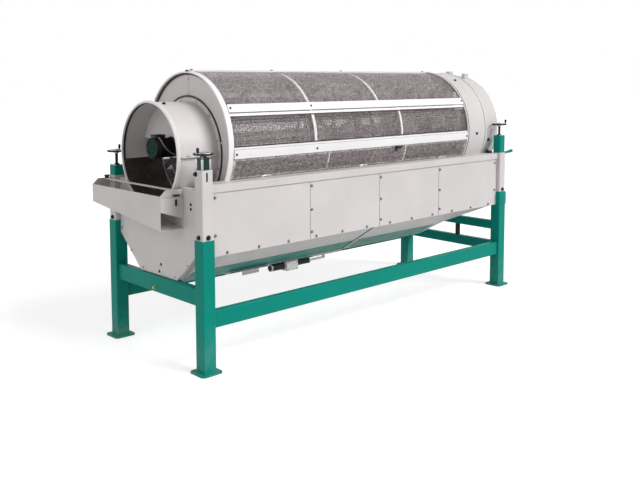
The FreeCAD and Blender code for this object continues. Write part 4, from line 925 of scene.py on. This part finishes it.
class SEEDCLEANER_OT_drive(bpy.types.Operator):
    """Model the finned motor with its cowl, terminal box and cable"""
    bl_idname = "seedcleaner.drive"
    bl_label = "Drive"

    def execute(self, context):
        nose, long = Vector((-1.752, 0, 1.500)), 0.170
        body = turned("motor_body", [(0.045, 0), (0.045, 0.058), (long - 0.02, 0.058), (long - 0.018, 0.072),
                                     (long, 0.072), (long, 0)], nose, X, steps=48)
        fin = plate("motor_fins", (0.05, -0.0012, 0.056), (long - 0.022, 0.0012, 0.0715), at=nose)
        edit(fin)
        bpy.ops.mesh.spin(steps=35, dupli=True, angle=radians(350), center=nose, axis=X)
        object_mode()
        hand_over(joined("motor_case", [body, fin]), black_fitting, smooth=30, instead_of=["drive_motor"])

        face = turned("motor_face", [(0.004, 0), (0.004, 0.0095), (0.001, 0.012), (0.001, 0.028),
                                     (0.005, 0.031), (0.005, 0.044), (0.001, 0.047), (0.001, 0.062),
                                     (0.008, 0.066), (0.05, 0.066)], nose, X, steps=48)
        hand_over(face, motor_enamel)
        cowl = turned("motor_cowl", [(0.05, 0.0665), (0.006, 0.0665), (0, 0.069), (0, 0.0725),
                                     (0.005, 0.0748), (0.05, 0.0748), (0.05, 0.0665)], nose, X, steps=64)
        box = plate("terminal_box", (0.015, -0.034, 0.070), (0.095, 0.034, 0.090), 0.004, nose)
        lid = plate("terminal_lid", (0.012, -0.037, 0.0905), (0.098, 0.037, 0.097), 0.002, nose)
        gland = rod("terminal_gland", (0.03, -0.03, 0.080), (0.03, -0.048, 0.078), 0.008, edge=0.002, at=nose)
        hand_over(joined("motor_cowling", [cowl, box, lid, gland]), black_fitting, smooth=30)

        exit_point = nose + Vector((0.03, -0.048, 0.078))
        run = interpolate_bezier(exit_point, nose + Vector((0.025, -0.105, 0.075)),
                                 nose + Vector((0.03, -0.112, -0.045)), (-1.548, -0.09, 1.437), 28)
        length = sum((end - start).length for start, end in zip(run, run[1:]))
        cable = hand_over(tube("motor_cable", run, 0.0045), cable_grey, smooth=60)

        flange = turned("gearbox_flange", [(-1.585, 0.0825), (-1.574, 0.0825), (-1.572, 0.0885),
                                           (-1.562, 0.0885), (-1.560, 0.083)], (0, 0, DRUM_Z), X, steps=48)
        hand_over(flange, motor_enamel, smooth=30)
        places = round_places(0.07, range(30, 360, 60), -1.4520, X)
        places += [place((-1.515 + end * 0.018, side * 0.068, 1.468)) for end, side in CORNERS]
        bolts("gearbox_bolts", places, across=0.012)
        return {"FINISHED"}


# Each handwheel's corner, the top of its nut block, the height of its rim and the turn of its knob.
HANDWHEELS = (
    ("handwheel_front_near", -1, -1, 1.472, 1.496, 200), ("handwheel_front_far", -1, 1, 1.337, 1.444, 40),
    ("handwheel_rear_near", 1, -1, 1.452, 1.559, 330), ("handwheel_rear_far", 1, 1, 1.452, 1.559, 120),
)


def level(angle):
    """The level direction at an angle from X."""
    return Vector((cos(radians(angle)), sin(radians(angle)), 0))


def handwheel(name, end, side, block_top, height, knob_turn):
    """One handwheel: hub and spokes in zinc plate, rim, knob and threaded screw in black."""
    middle, radius = on_leg(end, side, height), 0.063
    hub = turned(name + "_hub", [(-0.018, 0.0125), (-0.018, 0.017), (-0.015, 0.019), (0.012, 0.019),
                                 (0.016, 0.015), (0.018, 0.011), (0.018, 0)], middle, Z, steps=32)
    spokes = [rod(name + "_spoke", level(turn) * 0.012, level(turn) * 0.0625, 0.0058, sides=12, at=middle)
              for turn in (0, 120, 240)]
    hand_over(joined(name + "_spider", [hub] + spokes), zinc_plate, name, instead_of=[name])

    clear_selection()
    bpy.ops.mesh.primitive_torus_add(location=middle, major_radius=radius, minor_radius=0.007,
                                     major_segments=64, minor_segments=14)
    rim = apply_place(named(name + "_rim"))
    knob = turned(name + "_knob", [(0.004, 0.004), (0.010, 0.0045), (0.016, 0.009), (0.034, 0.0105),
                                   (0.044, 0.009), (0.048, 0)],
                  middle + level(knob_turn) * radius, Z, steps=20)
    low, high, pitch = block_top + 0.0104, height - 0.018, sizes().thread_pitch
    stem = [(block_top - 0.07, 0), (block_top - 0.07, 0.0105), (block_top + 0.0003, 0.0105),
            (block_top + 0.0003, 0.022), (low, 0.022)]
    for number in range(int((high - low) / pitch)):
        stem += [(low + number * pitch, 0.0108), (low + (number + 0.5) * pitch, 0.012)]
    stem += [(high, 0.0108), (high, 0)]
    screw = turned(name + "_screw", stem, on_leg(end, side), Z, steps=24)
    hand_over(joined(name + "_wheel", [rim, knob, screw]), black_fitting, name)


def open_block():
    """The open nut block of the near front leg: plates in the green darkened as painted shade, four pillars,
    and the sleeve below in black as painted shade.
    """
    at = on_leg(-1, -1)
    plates = [block("front_block_core", at, 0.034, 1.3915, 1.4655)]
    plates += [block("front_block_cap", at, 0.040, low, low + 0.008, 0.0015) for low in (1.3835, 1.464)]
    hand_over(joined("front_block_plates", plates), green_painted_shade, smooth=30)
    pillars = [rod("front_block_pillar", (end * 0.031, side * 0.031, 1.3912),
                   (end * 0.031, side * 0.031, 1.4645), 0.0085, edge=0.001, at=at) for end, side in CORNERS]
    hand_over(joined("front_block_pillars", pillars), zinc_plate)
    # Painted shade: the sleeve is black where the green jack block stands in shade.
    sleeve = block("front_block_sleeve", at, 0.040, 1.271, 1.3835)
    hand_over(sleeve, black_fitting, smooth=30, instead_of=["jack_block_front_near"])


class SEEDCLEANER_OT_handwheels(bpy.types.Operator):
    """Model the four handwheels, the open nut block and the bolts of the blocks"""
    bl_idname = "seedcleaner.handwheels"
    bl_label = "Handwheels"

    def execute(self, context):
        places = []
        for wheel in HANDWHEELS:
            handwheel(*wheel)
            at = on_leg(*wheel[1:4])
            places += [place(at + Vector((end * 0.029, side * 0.029, 0))) for end, side in CORNERS]
        open_block()
        bolts("block_bolts", places, across=0.011)
        return {"FINISHED"}


class SEEDCLEANER_OT_fittings(bpy.types.Operator):
    """Model the latches, the tray's knob, the lock lever, the earth bolt and the actuator's trim"""
    bl_idname = "seedcleaner.fittings"
    bl_label = "Fittings"

    def execute(self, context):
        for name, body, low, high, edge in (
                ("latch_bar", "machine", (-1.8052, -0.3555, 1.1955), (-1.7528, -0.3395, 1.2095), 0.004),
                ("latch_lever", "tray_flap", (-1.7848, -0.3512, 1.1295), (-1.7732, -0.3395, 1.1752), 0.0025),
                ("cable_box", "machine", (1.6965, -0.1195, 0.4262), (1.7235, -0.0765, 0.5388), 0.004)):
            hand_over(plate(name, low, high, edge), black_fitting, body)
        knob = turned("tray_knob", [(0, 0), (0, 0.0145), (0.0095, 0.0145), (0.0125, 0.019), (0.0195, 0.020),
                                    (0.0245, 0.017), (0.0255, 0)], (-1.794, 0.578, 1.2425), Z, steps=24)
        hand_over(knob, black_fitting)

        root, tip = Vector((1.7535, -0.575, 1.273)), Vector((1.9225, -0.575, 1.293))
        lever = [rod("lever_bar", root, tip, 0.0125, 20, 0.003),
                 rod("lever_grip", (-0.05, 0, -0.006), (0.006, 0, 0.0008), 0.0155, 20, 0.004, tip),
                 rod("lever_boss", (-0.002, 0, 0), (0.012, 0, 0), 0.026, 24, 0.003, root)]
        hand_over(joined("lock_lever", lever), green_enamel)
        bolts("earth_bolt", [place((-1.740, 0.02, 0.486), -X)], finish=brass_plate)

        axis = Vector((0, -0.150, 0.498))
        case = [plate("actuator_case", (-0.6590, low, -0.0376), (-0.5370, high, 0.0376), 0.004, axis)
                for low, high in ((-0.0446, -0.0120), (0.0120, 0.0446))]
        case.append(plate("actuator_lid", (-0.6350, -0.0462, -0.028), (-0.5610, -0.0440, 0.028), 0.001, axis))
        hand_over(joined("actuator_case", case), white_enamel)
        rings = [turned("actuator_ring", box_outline(x, x + 0.01, radius - 0.006, radius), axis, X, steps=32)
                 for x, radius in ((-0.7945, 0.0295), (-0.664, 0.0295), (-0.5360, 0.0235), (-0.3890, 0.0235))]
        hand_over(joined("actuator_rings", rings), zinc_plate)
        places = [place(axis + Vector((x, -0.0445, z)), -Y) for x in (-0.64, -0.556) for z in (-0.026, 0.026)]
        bolts("actuator_screws", places, across=0.008)
        return {"FINISHED"}


class SEEDCLEANER_OT_stage(bpy.types.Operator):
    """Set the floor, the light and the camera"""
    bl_idname = "seedcleaner.stage"
    bl_label = "Stage"

    def execute(self, context):
        clear_selection()
        bpy.ops.mesh.primitive_plane_add(size=120, location=(0, 0, -0.0005))
        floor = apply_place(named("floor"))
        floor.data.materials.append(pale_floor())

        # The world shows white to the camera and in gloss, and lights the object more weakly.
        context.scene.world = bpy.data.worlds.new("studio")
        sky = Graph(context.scene.world)
        rays = sky.add("ShaderNodeLightPath").outputs
        seen = sky.add("ShaderNodeMath", {0: rays["Is Camera Ray"], 1: rays["Is Glossy Ray"]},
                       operation="MAXIMUM")
        back = sky.tree.nodes["Background"].inputs
        sky.feed(back["Color"], (1, 1, 1, 1))
        sky.feed(back["Strength"], sky.band(seen.outputs[0], 0, 1, 0.22, 1))

        for name, towards, strength, spread in (("key", (-0.3, 0.76, -0.62), 3.1, 30),
                                                ("back_fill", (0.3, -0.9, -0.4), 0.6, 60),
                                                ("front_fill", (0.9, 0.1, -0.35), 1.0, 60)):
            bpy.ops.object.light_add(type="SUN", location=(0, 0, 4),
                                     rotation=Vector(towards).to_track_quat("-Z", "Y").to_euler())
            lamp = named(name).data
            lamp.energy = strength
            lamp.angle = radians(spread)

        yaw, pitch = radians(45.8294), radians(5.1094)
        look = Vector((cos(pitch) * cos(yaw), cos(pitch) * sin(yaw), -sin(pitch)))
        bpy.ops.object.camera_add(location=(-4.7867, -4.9949, 1.9957),
                                  rotation=look.to_track_quat("-Z", "Y").to_euler())
        camera = named("view")
        camera.data.sensor_width = 36
        camera.data.lens = 45.187
        camera.data.shift_x = -0.0229
        camera.data.shift_y = -0.14
        context.scene.camera = camera
        context.scene.view_settings.view_transform = "Standard"
        return {"FINISHED"}


OPERATORS = (
    SEEDCLEANER_OT_finishes,
    SEEDCLEANER_OT_guard_mesh,
    SEEDCLEANER_OT_drum_screens,
    SEEDCLEANER_OT_frame_welds,
    SEEDCLEANER_OT_casing_trim,
    SEEDCLEANER_OT_guard_frame,
    SEEDCLEANER_OT_discharge_end,
    SEEDCLEANER_OT_feed_end,
    SEEDCLEANER_OT_drive,
    SEEDCLEANER_OT_handwheels,
    SEEDCLEANER_OT_fittings,
    SEEDCLEANER_OT_stage,
)


class SEEDCLEANER_PT_pieces(bpy.types.Panel):
    """Sizes, colours and the pieces of the seed cleaner"""
    bl_idname = "SEEDCLEANER_PT_pieces"
    bl_label = "Seed cleaner"
    bl_space_type = "VIEW_3D"
    bl_region_type = "UI"
    bl_category = "Seed cleaner"

    def draw(self, context):
        for settings in (context.scene.seed_cleaner_sizes, context.scene.seed_cleaner_colours):
            box = self.layout.box()
            for key in settings.__annotations__:
                box.prop(settings, key)
        for operator in OPERATORS:
            self.layout.operator(operator.bl_idname)


CLASSES = (SeedCleanerSizes, SeedCleanerColours) + OPERATORS + (SEEDCLEANER_PT_pieces,)


def register():
    for kind in CLASSES:
        bpy.utils.register_class(kind)
    bpy.types.Scene.seed_cleaner_sizes = PointerProperty(type=SeedCleanerSizes)
    bpy.types.Scene.seed_cleaner_colours = PointerProperty(type=SeedCleanerColours)


def unregister():
    del bpy.types.Scene.seed_cleaner_colours
    del bpy.types.Scene.seed_cleaner_sizes
    for kind in reversed(CLASSES):
        bpy.utils.unregister_class(kind)


def main():
    register()
    for operator in OPERATORS:
        group, action = operator.bl_idname.split(".")
        getattr(getattr(bpy.ops, group), action)()


if __name__ == "__main__":
    main()
